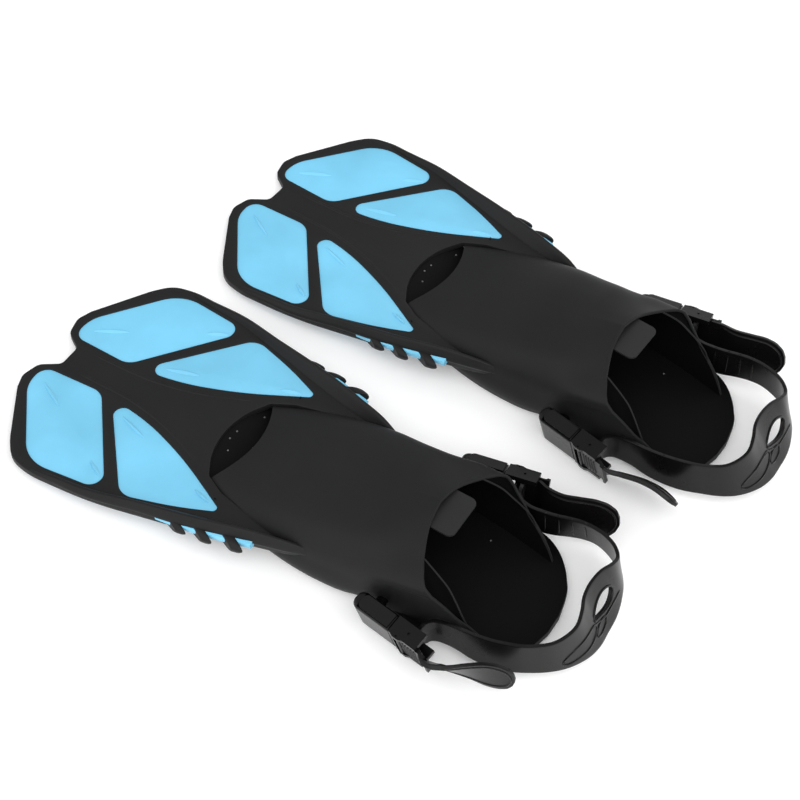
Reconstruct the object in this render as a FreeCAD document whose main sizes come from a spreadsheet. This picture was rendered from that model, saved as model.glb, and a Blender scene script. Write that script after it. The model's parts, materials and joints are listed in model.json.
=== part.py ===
import FreeCAD, Part
import math
import os
import Sketcher

# A pair of adjustable open-heel swim fins.
# Each fin is drawn in its blade frame: X runs from the blade tip to the heel, Y across, and Z is up from
# the top face of the blade plate. Its placement then tilts the blade so that the tip, the side lugs and
# the sole stand on the floor, Z = 0 of the part.

V = FreeCAD.Vector
doc = FreeCAD.newDocument("SwimFins")

# ---------------------------------------------------------------- driving dimensions (mm, degrees)
DIMENSIONS = {
    "blade_tilt": 4.8,
    "fin_splay": -3.6,
    "fin_stagger": 30.5,
    "fin_spacing": 208.0,
    "plate_thickness": 2.6,
    "plate_inset": 3.4,
    "frame_top": 1.6,
    "frame_bottom": -4.0,
    "wall": 3.2,
    "sole_thickness": 6.0,
    "pivot_x": 317.0,
    "pivot_z": -15.5,
    "pivot_radius": 4.0,
    "pivot_head_radius": 7.0,
    "pivot_inner_y": 48.6,
    "pivot_outer_y": 69.0,
    "pivot_clearance": 0.08,
    "roller_x": 351.0,
    "roller_y": 77.0,
    "toe_out": 10.0,
    "buckle_roll": 16.0,
    "buckle_height": 31.0,
    "buckle_half": 6.5,
    "buckle_wall": 3.4,
    "receiver_front": -46.0,
    "receiver_rear": -13.4,
    "cavity_depth": 13.8,
    "tab_length": 26.0,
    "tab_half": 5.1,
    "tab_proud": 0.7,
    "tab_thickness": 2.4,
    "tab_travel": 1.5,
    "roller_radius": 2.0,
    "roller_pin_radius": 1.0,
    "roller_clearance": 0.05,
    "cage_front": -12.6,
    "cage_rear": 10.0,
    "cage_ear": 7.7,
    "lever_pin_x": -6.0,
    "lever_pin_y": 6.1,
    "lever_pin_radius": 0.7,
    "lever_barrel_radius": 1.3,
    "lever_length": 23.0,
    "lever_thickness": 1.4,
    "lever_flange": 2.9,
    "strap_thickness": 2.2,
    "strap_height": 22.6,
    "strap_gap": 0.2,
    "paddle_height": 30.0,
    "label_length": 25.0,
    "label_width": 35.0,
    "label_thickness": 1.4,
}

sheet = doc.addObject("Spreadsheet::Sheet", "Dims")
for row, (alias, value) in enumerate(DIMENSIONS.items(), start=1):
    sheet.set("A%d" % row, alias)
    sheet.set("B%d" % row, str(value))
    sheet.setAlias("B%d" % row, alias)
scratch = doc.addObject("Spreadsheet::Sheet", "Scratch")
doc.recompute()


def dim(alias):
    """The value of one driving dimension, read from the sheet."""
    return float(sheet.get(alias))


def cell(alias):
    """The name of a driving dimension as an expression uses it."""
    return "Dims." + alias


FLOOR_SLOPE = math.tan(math.radians(dim("blade_tilt")))


def floor_z(x):
    """Height of the floor in the blade frame at a station x."""
    return dim("frame_bottom") - FLOOR_SLOPE * x


# ---------------------------------------------------------------- placements
def tilt_placement():
    rotation = FreeCAD.Rotation(V(0, 1, 0), -dim("blade_tilt"))
    toe_of_floor = V(0, 0, dim("frame_bottom"))
    return FreeCAD.Placement(rotation.multVec(toe_of_floor) * -1, rotation)


SPLAY_CENTRE_X = 243.0


def fin_placement(fin):
    """Where a fin stands: the left one square to X, the right one splayed and set back."""
    if fin == "left":
        return tilt_placement()
    turn = FreeCAD.Rotation(V(0, 0, 1), dim("fin_splay"))
    centre = V(SPLAY_CENTRE_X, 0, 0)
    shift = V(dim("fin_stagger"), dim("fin_spacing"), 0)
    base = centre + shift - turn.multVec(centre)
    return FreeCAD.Placement(base, turn).multiply(tilt_placement())


def buckle_placement(side):
    """The frame of a strap buckle: origin where the roller's axis meets its top face, X to the rear.

    The buckle is toed out, and it leans out at the top to follow the pocket's side.
    """
    turn = FreeCAD.Rotation(V(0, 0, 1), side * dim("toe_out"))
    lean = FreeCAD.Rotation(V(1, 0, 0), -side * dim("buckle_roll"))
    return FreeCAD.Placement(V(dim("roller_x"), side * dim("roller_y"), 0), turn.multiply(lean))


# ---------------------------------------------------------------- sketch and body helpers
def new_body(label):
    body = doc.addObject("PartDesign::Body", label)
    body.Label = label
    return body


def plane_of(body, role):
    for feature in body.Origin.OriginFeatures:
        if feature.Role == role:
            return feature
    raise ValueError("no plane " + role)


def new_sketch(body, role, name, offset="0"):
    sketch = body.newObject("Sketcher::SketchObject", name)
    sketch.AttachmentSupport = (plane_of(body, role), [""])
    sketch.MapMode = "FlatFace"
    sketch.setExpression("AttachmentOffset.Base.z", offset)
    return sketch


def bind_point(sketch, geometry, position, name, x, y):
    """Tie one point of a sketch to two expressions, measured from the sketch's origin."""
    point = sketch.getPoint(geometry, position)
    for kind, value, start, expression in (("DistanceX", point.x, "x", x), ("DistanceY", point.y, "y", y)):
        index = sketch.addConstraint(Sketcher.Constraint(kind, -1, 1, geometry, position, value))
        sketch.renameConstraint(index, name + start)
        sketch.setExpression("Constraints." + name + start, expression)


def number(expression):
    """The value of an expression made of driving dimensions, plain numbers and + - * ( )."""
    scratch.set("A1", "=" + expression)
    scratch.recompute()
    return float(scratch.get("A1"))


def add_polygon(sketch, corners):
    """A closed outline; each corner is a pair of expressions."""
    places = [V(number(x), number(y), 0) for x, y in corners]
    count = len(places)
    for i in range(count):
        sketch.addGeometry(Part.LineSegment(places[i], places[(i + 1) % count]), False)
    for i in range(count):
        sketch.addConstraint(Sketcher.Constraint("Coincident", i, 2, (i + 1) % count, 1))
    for i, (x, y) in enumerate(corners):
        bind_point(sketch, i, 1, "p%d" % i, x, y)


def add_rectangle(sketch, x0, y0, x1, y1):
    add_polygon(sketch, [(x0, y0), (x1, y0), (x1, y1), (x0, y1)])


def add_circle(sketch, x, y, radius):
    place = V(number(x), number(y), 0)
    index = sketch.addGeometry(Part.Circle(place, V(0, 0, 1), number(radius)), False)
    bind_point(sketch, index, 3, "c%d" % index, x, y)
    constraint = sketch.addConstraint(Sketcher.Constraint("Radius", index, number(radius)))
    sketch.renameConstraint(constraint, "r%d" % index)
    sketch.setExpression("Constraints.r%d" % index, radius)


def pad(body, sketch, name, length):
    feature = body.newObject("PartDesign::Pad", name)
    feature.Profile = sketch
    feature.setExpression("Length", length)
    sketch.Visibility = False
    doc.recompute()
    return feature


def pocket(body, sketch, name, length):
    """Cut along the sketch's normal, away from the side that a pad grows to."""
    before = body.Shape.Volume
    feature = body.newObject("PartDesign::Pocket", name)
    feature.Profile = sketch
    feature.Reversed = True
    feature.setExpression("Length", length)
    doc.recompute()
    if not body.Shape.Volume < before:
        raise RuntimeError("pocket cuts nothing: " + name)
    return feature


def fillet(body, name, radius, wanted):
    """Round the edges of a body's last feature that a test picks."""
    base = body.Tip
    edges = []
    for i, edge in enumerate(base.Shape.Edges, start=1):
        if wanted(edge):
            edges.append("Edge%d" % i)
    feature = body.newObject("PartDesign::Fillet", name)
    feature.Base = (base, edges)
    feature.Radius = radius
    doc.recompute()
    return feature


def is_along(edge, axis, tolerance=1e-4):
    if len(edge.Vertexes) != 2:
        return False
    step = edge.Vertexes[1].Point - edge.Vertexes[0].Point
    return abs(abs(step.normalize() * axis) - 1) < tolerance


def shape_feature(label, shape):
    feature = doc.addObject("Part::Feature", label)
    feature.Label = label
    feature.Shape = shape
    return feature


# ---------------------------------------------------------------- plain shape helpers
def spline(points, periodic=False):
    curve = Part.BSplineCurve()
    curve.interpolate(Points=[V(*p) for p in points], PeriodicFlag=periodic)
    return curve.toShape()


def rounded_outline(corners):
    """A closed plan outline; each corner is (x, y, radius)."""
    count = len(corners)
    starts = []
    ends = []
    middles = []
    for i in range(count):
        here = V(corners[i][0], corners[i][1], 0)
        radius = corners[i][2]
        to_last = (V(corners[i - 1][0], corners[i - 1][1], 0) - here).normalize()
        following = corners[(i + 1) % count]
        to_next = (V(following[0], following[1], 0) - here).normalize()
        half = math.acos(max(-1.0, min(1.0, to_last * to_next))) / 2
        reach = radius / math.tan(half)
        bisector = (to_last + to_next).normalize()
        starts.append(here + to_last * reach)
        ends.append(here + to_next * reach)
        middles.append(here + bisector * (radius / math.sin(half) - radius))
    edges = []
    for i in range(count):
        if corners[i][2] > 0:
            edges.append(Part.Arc(starts[i], middles[i], ends[i]).toShape())
        following = starts[(i + 1) % count]
        if ends[i].distanceToPoint(following) > 1e-6:
            edges.append(Part.LineSegment(ends[i], following).toShape())
    return Part.Wire(edges)


def plan_prism(corners, z0, z1):
    """A vertical prism over a rounded plan outline."""
    face = Part.Face(rounded_outline(corners))
    face.translate(V(0, 0, z0))
    return face.extrude(V(0, 0, z1 - z0))


def side_prism(points, half_width):
    """A prism across Y over a side-view polygon of (x, z) points."""
    corners = [V(x, -half_width, z) for x, z in points]
    return Part.Face(Part.makePolygon(corners + corners[:1])).extrude(V(0, 2 * half_width, 0))


def box(x0, x1, y0, y1, z0, z1):
    return Part.makeBox(x1 - x0, y1 - y0, z1 - z0, V(x0, y0, z0))


def mirrored(shape):
    return shape.mirror(V(0, 0, 0), V(0, 1, 0))


def both_sides(shape):
    return [shape, mirrored(shape)]


def largest_solid(shape):
    return max(shape.Solids, key=lambda solid: solid.Volume)


# ---------------------------------------------------------------- blade
# Half outline of the blade from the notch at the tip to the pocket: (x, y, corner radius).
HALF_OUTLINE = [
    (18.0, 9.0, 6.0),
    (4.0, 18.0, 9.0),
    (0.5, 32.0, 10.0),
    (4.5, 43.0, 4.0),
    (31.0, 83.0, 8.0),
    (37.0, 92.5, 6.0),
    (58.0, 99.0, 14.0),
    (108.0, 96.5, 60.0),
    (163.0, 85.0, 60.0),
    (226.0, 69.0, 30.0),
    (256.0, 64.0, 8.0),
    (262.0, 50.0, 4.0),
]

# Outlines of the two see-through panels of each lobe: (x, y, corner radius).
OUTER_PANEL = [
    (8.5, 18.0, 9.0),
    (58.5, 15.5, 14.0),
    (114.0, 86.0, 8.0),
    (55.0, 92.0, 16.0),
    (9.0, 36.0, 14.0),
]
INNER_PANEL = [
    (68.5, 16.5, 7.0),
    (103.0, 21.5, 20.0),
    (143.0, 35.5, 40.0),
    (192.0, 59.5, 3.0),
    (163.0, 71.5, 30.0),
    (127.0, 82.5, 11.0),
]


def full_outline(half):
    """Mirror a half outline into a closed one."""
    return half + [(x, -y, r) for x, y, r in reversed(half)]


def inset_outline(half, inset):
    """Pull a half outline inwards, towards the middle of the lobe."""
    middle = V(120.0, 45.0, 0)
    pulled = []
    for x, y, r in half:
        away = V(x, y, 0) - middle
        scale = 1 - inset / away.Length
        pulled.append((middle.x + away.x * scale, middle.y + away.y * scale, max(r - inset, 1.0)))
    return pulled


def panel_window(corners):
    return plan_prism(corners, -20.0, 20.0)


# The side rail: stations along the blade with its inner foot, crest and outer foot.
# (x, inner y, crest y, crest z, outer y, bottom z)
RAIL = [
    (63.0, 94.5, 97.0, 2.6, 98.6, -4.0),
    (103.0, 90.0, 94.5, 5.0, 96.8, -4.6),
    (143.0, 80.0, 86.6, 8.0, 89.0, -5.0),
    (181.0, 70.0, 79.5, 9.5, 82.5, -5.0),
    (223.0, 60.0, 69.0, 10.7, 72.0, -5.0),
    (262.0, 52.0, 58.0, 9.0, 61.0, -5.0),
]

# The keel that flares out of the rail's outer face: (x, inner y, outer y, top z, bottom z).
KEEL = [
    (157.0, 80.0, 86.6, 2.0, -2.6),
    (187.0, 75.0, 83.0, 3.2, -1.8),
    (226.0, 66.0, 74.2, 4.0, -1.0),
]
# Where the lugs grip the keel, as ranges of x, and how far they stand out of it.
LUGS = [(166.0, 175.0), (186.0, 195.0), (206.0, 214.0)]
LUG_PROUD = 1.4


def between(stations, x):
    """Linear interpolation in a table of stations."""
    for low, high in zip(stations, stations[1:]):
        if x <= high[0]:
            part = (x - low[0]) / (high[0] - low[0])
            return [a + (b - a) * part for a, b in zip(low, high)]
    return list(stations[-1])


def section_loft(sections, ruled=True):
    wires = []
    for points in sections:
        corners = [V(*p) for p in points]
        wires.append(Part.makePolygon(corners + corners[:1]))
    return Part.makeLoft(wires, True, ruled)


def rail_solid():
    sections = []
    for x, inner, crest, crest_z, outer, bottom in RAIL:
        shoulder = crest_z * 0.35
        sections.append([
            (x, inner, bottom),
            (x, inner, 0.5),
            (x, crest - 1.6, crest_z),
            (x, crest + 1.2, crest_z),
            (x, outer, shoulder),
            (x, outer, bottom),
        ])
    return section_loft(sections)


def keel_solid():
    sections = []
    for x, inner, outer, top, bottom in KEEL:
        sections.append([
            (x, inner, bottom - 0.4),
            (x, inner, top + 0.6),
            (x, outer, top),
            (x, outer - 1.0, bottom),
        ])
    return section_loft(sections)


def lug_solid(x0, x1):
    """A rubber lug that wraps the keel's edge."""
    sections = []
    for x in (x0, x1):
        _, inner, outer, top, bottom = between(KEEL, x)
        edge = outer + LUG_PROUD
        sections.append([
            (x, inner - 3.0, bottom - 2.6),
            (x, inner - 3.0, top + 2.0),
            (x, edge - 1.5, top + 1.2),
            (x, edge, top - 1.0),
            (x, edge - 1.6, bottom - 2.0),
        ])
    return section_loft(sections)


def blade_plate_shape():
    outline = inset_outline(HALF_OUTLINE[:-2], dim("plate_inset"))
    outline[-1] = (206.0, 60.0, 6.0)
    plate = plan_prism(full_outline(outline), -dim("plate_thickness"), 0.0)
    solids = both_sides(keel_solid())
    return plate.fuse(solids).removeSplitter()


def blade_frame_shape(plate, pocket_room):
    slab = plan_prism(full_outline(HALF_OUTLINE), dim("frame_bottom"), dim("frame_top"))
    pieces = both_sides(rail_solid())
    for x0, x1 in LUGS:
        pieces += both_sides(lug_solid(x0, x1))
    frame = slab.fuse(pieces)
    for corners in (OUTER_PANEL, INNER_PANEL):
        frame = frame.cut(both_sides(panel_window(corners)))
    frame = frame.cut(plate).cut(pocket_room)
    return largest_solid(frame)


# ---------------------------------------------------------------- foot pocket
# Stations of the pocket's outside: (x, half width, top z, rise of the underside above the floor).
POCKET = [
    (152.0, 33.0, 1.8, 9.0),
    (183.0, 49.0, 5.0, 2.0),
    (223.0, 58.0, 15.5, 0.0),
    (263.0, 60.0, 26.0, 0.0),
    (298.0, 58.0, 33.0, 0.0),
    (332.0, 56.5, 41.0, 0.0),
    (365.0, 53.0, 47.0, 0.0),
    (390.0, 49.0, 49.0, 0.0),
    (425.0, 46.0, 50.0, 0.0),
]
# Plan outline of the pocket's walls towards the heel, and of the sole flange below them.
TAIL = [(150.0, 62.0, 0.0), (374.0, 60.0, 40.0), (402.0, 44.0, 30.0), (417.5, 14.0, 14.0)]
FLANGE = [
    (285.0, 46.0, 0.0), (336.0, 51.0, 20.0), (360.0, 59.0, 20.0), (378.0, 60.5, 12.0), (402.0, 44.5, 30.0),
    (417.5, 14.0, 14.0),
]
RIM = [
    (326.0, 60.0), (330.0, 40.5), (340.0, 32.0), (350.0, 22.0), (358.0, 15.5), (366.0, 8.5), (372.0, -2.0),
    (380.0, -8.0), (388.0, -19.0), (395.0, -30.0), (405.0, -31.5), (430.0, -33.0),
    (430.0, 90.0), (326.0, 90.0),
]
FLANGE_THICKNESS = 5.5
TOE_MOUTH = [(169.0, 38.0), (158.0, 0.0), (181.0, 0.0)]


def pocket_loft(grow, sole, first, last):
    """The pocket's outer form, moved inwards by the wall where grow is negative."""
    wires = []
    for x, half, top, rise in POCKET:
        if x < first or x > last:
            continue
        w = half + grow
        low = floor_z(x) + rise + sole
        height = top + grow - low
        lower = min(8.0, 0.4 * height)
        right = [
            (0.86 * w, low),
            (0.955 * w, low + lower),
            (w, low + 0.50 * height),
            (0.80 * w, low + 0.87 * height),
            (0.42 * w, low + 0.975 * height),
        ]
        arch = [(x, y, z) for y, z in right]
        arch += [(x, 0.0, low + height)]
        arch += [(x, -y, z) for y, z in reversed(right)]
        foot = Part.LineSegment(V(*arch[-1]), V(*arch[0])).toShape()
        wires.append(Part.Wire([spline(arch), foot]))
    return Part.makeLoft(wires, True, False)


def mouth_prism():
    """The crescent opening over the toes."""
    (end_x, end_y), (front_x, _), (rear_x, _) = TOE_MOUTH
    front = Part.Arc(V(end_x, end_y, 0), V(front_x, 0, 0), V(end_x, -end_y, 0)).toShape()
    rear = Part.Arc(V(end_x, -end_y, 0), V(rear_x, 0, 0), V(end_x, end_y, 0)).toShape()
    face = Part.Face(Part.Wire([front, rear]))
    face.translate(V(0, 0, -6.0))
    return face.extrude(V(0, 0, 30.0))


HEAD_THICKNESS = 1.8


def pivot_bore(side):
    """Room for a pivot post and its head in the pocket's wall."""
    outward = V(0, side, 0)
    start = V(dim("pivot_x"), 0, dim("pivot_z"))
    shank = Part.makeCylinder(dim("pivot_radius"), 100.0, start, outward)
    head_start = start + outward * dim("pivot_inner_y")
    return shank.fuse(Part.makeCylinder(dim("pivot_head_radius"), HEAD_THICKNESS, head_start, outward))


def sole_flange():
    """The sole's edge stands out beyond the walls round the heel, level with the floor."""
    x0 = FLANGE[0][0] - 5.0
    x1 = FLANGE[-1][0] + 10.0
    thick = FLANGE_THICKNESS
    slab = [(x0, floor_z(x0)), (x1, floor_z(x1)), (x1, floor_z(x1) + thick), (x0, floor_z(x0) + thick)]
    return plan_prism(full_outline(FLANGE), -60.0, 0.0).common(side_prism(slab, 90.0))


def foot_pocket_outer():
    tail = plan_prism(full_outline(TAIL), -60.0, 80.0)
    return pocket_loft(0.0, 0.0, 0.0, 500.0).common(tail)


POCKET_GAP = 1.2


def pocket_clearance():
    """An upright prism a little wider than the pocket, which the blade and its frame stay out of."""
    stations = [station[:2] for station in POCKET[:5]]
    outline = [(x, half + POCKET_GAP, 0.0) for x, half in stations]
    outline[0] = (stations[0][0] - 0.3, stations[0][1] + POCKET_GAP, 0.0)
    return plan_prism(full_outline(outline), -60.0, 80.0)


def foot_pocket_shape():
    wall = dim("wall")
    outer = foot_pocket_outer()
    rim = side_prism(RIM, 90.0)
    inner_tail = [(x, y - wall, r) for x, y, r in TAIL[:-1]] + [(TAIL[-1][0] - wall, 11.0, 11.0)]
    cavity = pocket_loft(-wall, dim("sole_thickness"), 0.0, 500.0)
    front = box(100.0, TOE_MOUTH[1][0] + 1.0, -90.0, 90.0, -60.0, 80.0)
    cavity = cavity.common(plan_prism(full_outline(inner_tail), -60.0, 80.0)).cut(front)
    pocket = outer.cut([rim, cavity, mouth_prism()]).fuse(sole_flange())
    pocket = pocket.cut([pivot_bore(1), pivot_bore(-1)])
    return largest_solid(pocket)


# ---------------------------------------------------------------- heel strap
# Plan route of the strap's middle line from one buckle round the heel to the other: (x, y).
HEEL_ROUTE = [
    (364.0, -63.0), (373.0, -57.5), (388.0, -54.5), (405.0, -51.5), (421.0, -45.0), (434.0, -32.0),
    (443.5, -13.0), (446.5, 8.0), (443.0, 28.0), (434.0, 44.0), (420.0, 54.5), (404.0, 59.0),
    (386.0, 59.0), (374.0, 59.5), (364.0, 63.5),
]
BAND_THICKNESS = 3.0


def band_face(route, half):
    """A plan band of even thickness along a route of points."""
    count = len(route)
    left = []
    right = []
    for i in range(count):
        before = V(route[max(i - 1, 0)][0], route[max(i - 1, 0)][1], 0)
        after = V(route[min(i + 1, count - 1)][0], route[min(i + 1, count - 1)][1], 0)
        along = (after - before).normalize()
        across = V(-along.y, along.x, 0) * half
        left.append((route[i][0] + across.x, route[i][1] + across.y, 0))
        right.append((route[i][0] - across.x, route[i][1] - across.y, 0))
    edges = [
        spline(left),
        Part.LineSegment(V(*left[-1]), V(*right[-1])).toShape(),
        spline(list(reversed(right))),
        Part.LineSegment(V(*right[0]), V(*left[0])).toShape(),
    ]
    return Part.Face(Part.Wire(edges))


def strap_reach():
    """Distance of the strap's middle line from the roller's axis."""
    return dim("roller_radius") + dim("strap_gap") + dim("strap_thickness") / 2


PADDLE_START = 16.0
PADDLE_LENGTH = 60.0
PADDLE_TOE_IN = {-1: 22.0, 1: 8.0}


def buckle_loop(side):
    """The strap's end in a buckle: forward inside, round the roller and back outside to the paddle."""
    half = dim("strap_thickness") / 2
    reach = strap_reach()
    height = dim("strap_height")
    middle = -dim("buckle_height") / 2
    low = middle - height / 2
    ring = Part.makeCylinder(reach + half, height, V(0, 0, low))
    ring = ring.cut(Part.makeCylinder(reach - half, 100.0, V(0, 0, -60.0)))
    bend = ring.common(box(-20.0, 0.0, -20.0, 20.0, -60.0, 60.0))
    inner = box(0.0, 9.0, -reach - half, -reach + half, low, low + height)
    outer = box(0.0, PADDLE_START + 2.0, reach - half, reach + half, low, low + height)
    wide = dim("paddle_height")
    paddle = box(0.0, PADDLE_LENGTH, -half, half, -wide / 2, wide / 2)
    paddle = paddle.makeFillet(wide * 0.45, [e for e in paddle.Edges if is_along(e, V(0, 1, 0))])
    paddle.rotate(V(0, 0, 0), V(0, 0, 1), -PADDLE_TOE_IN[side])
    paddle.translate(V(PADDLE_START, reach, middle))
    loop = bend.fuse([inner, outer, paddle])
    if side < 0:
        loop = mirrored(loop)
    loop.Placement = buckle_placement(side)
    return loop


def strap_start(side):
    """Where the band leaves the roller, at half its height, in the fin's frame."""
    middle = -dim("buckle_height") / 2
    place = buckle_placement(side).multVec(V(6.5, -side * strap_reach(), middle))
    return (place.x, place.y)


# Side view of the strap round the heel: (x, z) along the lower edge and back along the upper one.
STRAP_SIDE = [
    (340.0, -24.2), (364.0, -24.4), (372.0, -27.0), (385.0, -28.5), (410.0, -31.5), (428.0, -35.5),
    (465.0, -37.5),
    (465.0, 8.0), (436.0, 7.0), (415.0, 1.5), (385.0, -3.0), (365.0, -5.4), (340.0, -6.2),
]
STRAP_WINDOWS = [-14.0, 26.0]
WINDOW_MIDDLE = -13.0
WINDOW_WIDTH = 24.0
WINDOW_HEIGHT = 11.0


def heel_strap_shape():
    route = [strap_start(-1)] + HEEL_ROUTE + [strap_start(1)]
    face = band_face(route, BAND_THICKNESS / 2)
    face.translate(V(0, 0, -60.0))
    band = face.extrude(V(0, 0, 90.0)).common(side_prism(STRAP_SIDE, 120.0))
    low = WINDOW_MIDDLE - WINDOW_HEIGHT / 2
    for y in STRAP_WINDOWS:
        window = box(425.0, 465.0, y - WINDOW_WIDTH / 2, y + WINDOW_WIDTH / 2, low, low + WINDOW_HEIGHT)
        ends = [e for e in window.Edges if is_along(e, V(1, 0, 0))]
        band = band.cut(window.makeFillet(WINDOW_HEIGHT * 0.45, ends))
    strap = band.fuse([buckle_loop(1), buckle_loop(-1)])
    return largest_solid(strap)


# ---------------------------------------------------------------- buckle parts
# Every one of these is drawn in its buckle's frame, except the pivot post, which stands in the pocket.
BOTTOM = "(0 - Dims.buckle_height)"
MIDDLE = "(0 - Dims.buckle_height / 2)"
ROLLER_GAP = "(Dims.buckle_wall + 0.4)"


def signed(side, expression):
    return "%d * (%s)" % (side, expression)


def make_pivot_post(name, side):
    """The post in the pocket's wall that a buckle swings on, with a flat head inside."""
    post = new_body(name)
    start = signed(-side, cell("pivot_inner_y"))
    sketch = new_sketch(post, "XZ_Plane", name + "_shank", start)
    add_circle(sketch, cell("pivot_x"), cell("pivot_z"), cell("pivot_radius"))
    shank = pad(post, sketch, name + "_shank_pad", cell("pivot_outer_y") + " - " + cell("pivot_inner_y"))
    shank.Reversed = side > 0
    head = new_sketch(post, "XZ_Plane", name + "_head", start)
    add_circle(head, cell("pivot_x"), cell("pivot_z"), cell("pivot_head_radius"))
    flat = pad(post, head, name + "_head_pad", "%g" % HEAD_THICKNESS)
    flat.Reversed = side > 0
    doc.recompute()
    return post


def make_receiver(name, side):
    """The front half of a buckle: a housing with a rounded nose, two tab seats and the tongue's cavity."""
    body = new_body(name)
    half = cell("buckle_half")
    front = cell("receiver_front")
    rear = cell("receiver_rear")
    plan = new_sketch(body, "XY_Plane", name + "_plan", BOTTOM)
    add_rectangle(plan, front, signed(side, "-" + half), rear, signed(side, half))
    pad(body, plan, name + "_pad", cell("buckle_height"))
    fillet(body, name + "_nose", 5.6, is_nose_corner)
    fillet(body, name + "_nose_top", 3.0, is_nose_edge)
    cavity = new_sketch(body, "XY_Plane", name + "_cavity", BOTTOM + " + 5")
    cavity_front = rear + " - " + cell("cavity_depth")
    add_rectangle(cavity, cavity_front, signed(side, "-4.4"), rear + " + 1", signed(side, "3.9"))
    pocket(body, cavity, name + "_cavity_cut", cell("buckle_height") + " - 10")
    seat_front = "%s - 1.4 - %s" % (rear, cell("tab_length"))
    seat_half = cell("tab_half") + " + 0.3"
    seat_depth = "%s - %s + %s + 0.3" % (cell("tab_thickness"), cell("tab_proud"), cell("tab_travel"))
    for level, start in (("upper", "0 - (%s)" % seat_depth), ("lower", BOTTOM + " - 1")):
        seat = new_sketch(body, "XY_Plane", "%s_seat_%s" % (name, level), start)
        add_rectangle(seat, seat_front, signed(side, "-(%s)" % seat_half), rear + " - 0.8",
                      signed(side, seat_half))
        pocket(body, seat, "%s_seat_%s_cut" % (name, level), seat_depth + " + 1")
    cut_pivot_bore(body, name, side)
    return body


BORE_START_Y = 50.0


def cut_pivot_bore(body, name, side):
    """The bore for the pivot post runs square across the fin, so it is slanted in the leaning housing."""
    bore = body.newObject("Sketcher::SketchObject", name + "_bore")
    bore.AttachmentSupport = (plane_of(body, "XY_Plane"), [""])
    bore.MapMode = "FlatFace"
    place = buckle_placement(side).inverse()
    start = V(dim("pivot_x"), side * BORE_START_Y, dim("pivot_z"))
    outward = FreeCAD.Rotation(V(1, 0, 0), -side * 90)
    bore.AttachmentOffset = place.multiply(FreeCAD.Placement(start, outward))
    add_circle(bore, "0", "0", "%s + %s" % (cell("pivot_radius"), cell("pivot_clearance")))
    before = body.Shape.Volume
    cut = body.newObject("PartDesign::Pocket", name + "_bore_cut")
    cut.Profile = bore
    cut.Reversed = True
    cut.setExpression("Length", "%s - %g + 0.5" % (cell("pivot_outer_y"), BORE_START_Y))
    doc.recompute()
    if not body.Shape.Volume < before:
        raise RuntimeError("the pivot bore cuts nothing: " + name)


def is_nose_corner(edge):
    front = dim("receiver_front")
    return is_along(edge, V(0, 0, 1)) and abs(edge.Vertexes[0].Point.x - front) < 0.1


def is_nose_edge(edge):
    """The top and bottom edges round the nose of a receiver, straight and curved ones."""
    box_of_edge = edge.BoundBox
    level = box_of_edge.ZLength < 0.01
    return level and box_of_edge.XMax < dim("receiver_front") + 6.0


def make_release_tab(name, side, level):
    """One of the two long finger tabs that free the buckle; level is 1 above and -1 below."""
    tab = new_body(name)
    proud = cell("tab_proud")
    thickness = cell("tab_thickness")
    start = "%s - %s" % (proud, thickness) if level > 0 else "%s - %s" % (BOTTOM, proud)
    sketch = new_sketch(tab, "XY_Plane", name + "_plan", start)
    rear = cell("receiver_rear") + " - 1.1"
    tab_front = "%s - %s" % (rear, cell("tab_length"))
    add_rectangle(sketch, tab_front, "-" + cell("tab_half"), rear, cell("tab_half"))
    pad(tab, sketch, name + "_pad", thickness)
    front_x = dim("receiver_rear") - 1.1 - dim("tab_length")
    fillet(tab, name + "_round", 3.5,
           lambda e: is_along(e, V(0, 0, 1)) and abs(e.Vertexes[0].Point.x - front_x) < 0.1)
    return tab


def make_cage(name, side):
    """The rear half of a buckle: two plates that carry the roller and lever pins, and the tongue."""
    cage = new_body(name)
    half = cell("buckle_half")
    front = cell("cage_front")
    rear = cell("cage_rear")
    wall = cell("buckle_wall")
    ear = cell("cage_ear")
    block = new_sketch(cage, "XY_Plane", name + "_plan", BOTTOM)
    add_polygon(block, [
        (front, signed(side, "-" + half)),
        (rear, signed(side, "-" + half)),
        (rear, signed(side, half)),
        (cell("lever_pin_x") + " + 5", signed(side, half)),
        (cell("lever_pin_x") + " + 2.2", signed(side, ear)),
        (cell("lever_pin_x") + " - 2.2", signed(side, ear)),
        (cell("lever_pin_x") + " - 5", signed(side, half)),
        (front, signed(side, half)),
    ])
    pad(cage, block, name + "_pad", cell("buckle_height"))
    gap = new_sketch(cage, "XY_Plane", name + "_gap", "%s + %s" % (BOTTOM, wall))
    add_rectangle(gap, front + " + 2.4", signed(side, "-(%s + 2)" % half), rear + " + 2",
                  signed(side, ear + " + 2"))
    pocket(cage, gap, name + "_gap_cut", "%s - 2 * %s" % (cell("buckle_height"), wall))
    tongue = new_sketch(cage, "XY_Plane", name + "_tongue", MIDDLE + " - 8")
    add_rectangle(tongue, "%s - %s + 0.6" % (cell("receiver_rear"), cell("cavity_depth")),
                  signed(side, "-1.2"), front + " + 0.5", signed(side, "3.4"))
    pad(cage, tongue, name + "_tongue_pad", "16")
    holes = new_sketch(cage, "XY_Plane", name + "_holes", BOTTOM + " - 1")
    add_circle(holes, "0", "0", cell("roller_pin_radius"))
    add_circle(holes, cell("lever_pin_x"), signed(side, cell("lever_pin_y")), cell("lever_pin_radius"))
    pocket(cage, holes, name + "_holes_cut", cell("buckle_height") + " + 2")
    return cage


PIN_SUNK = 1.2


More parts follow.
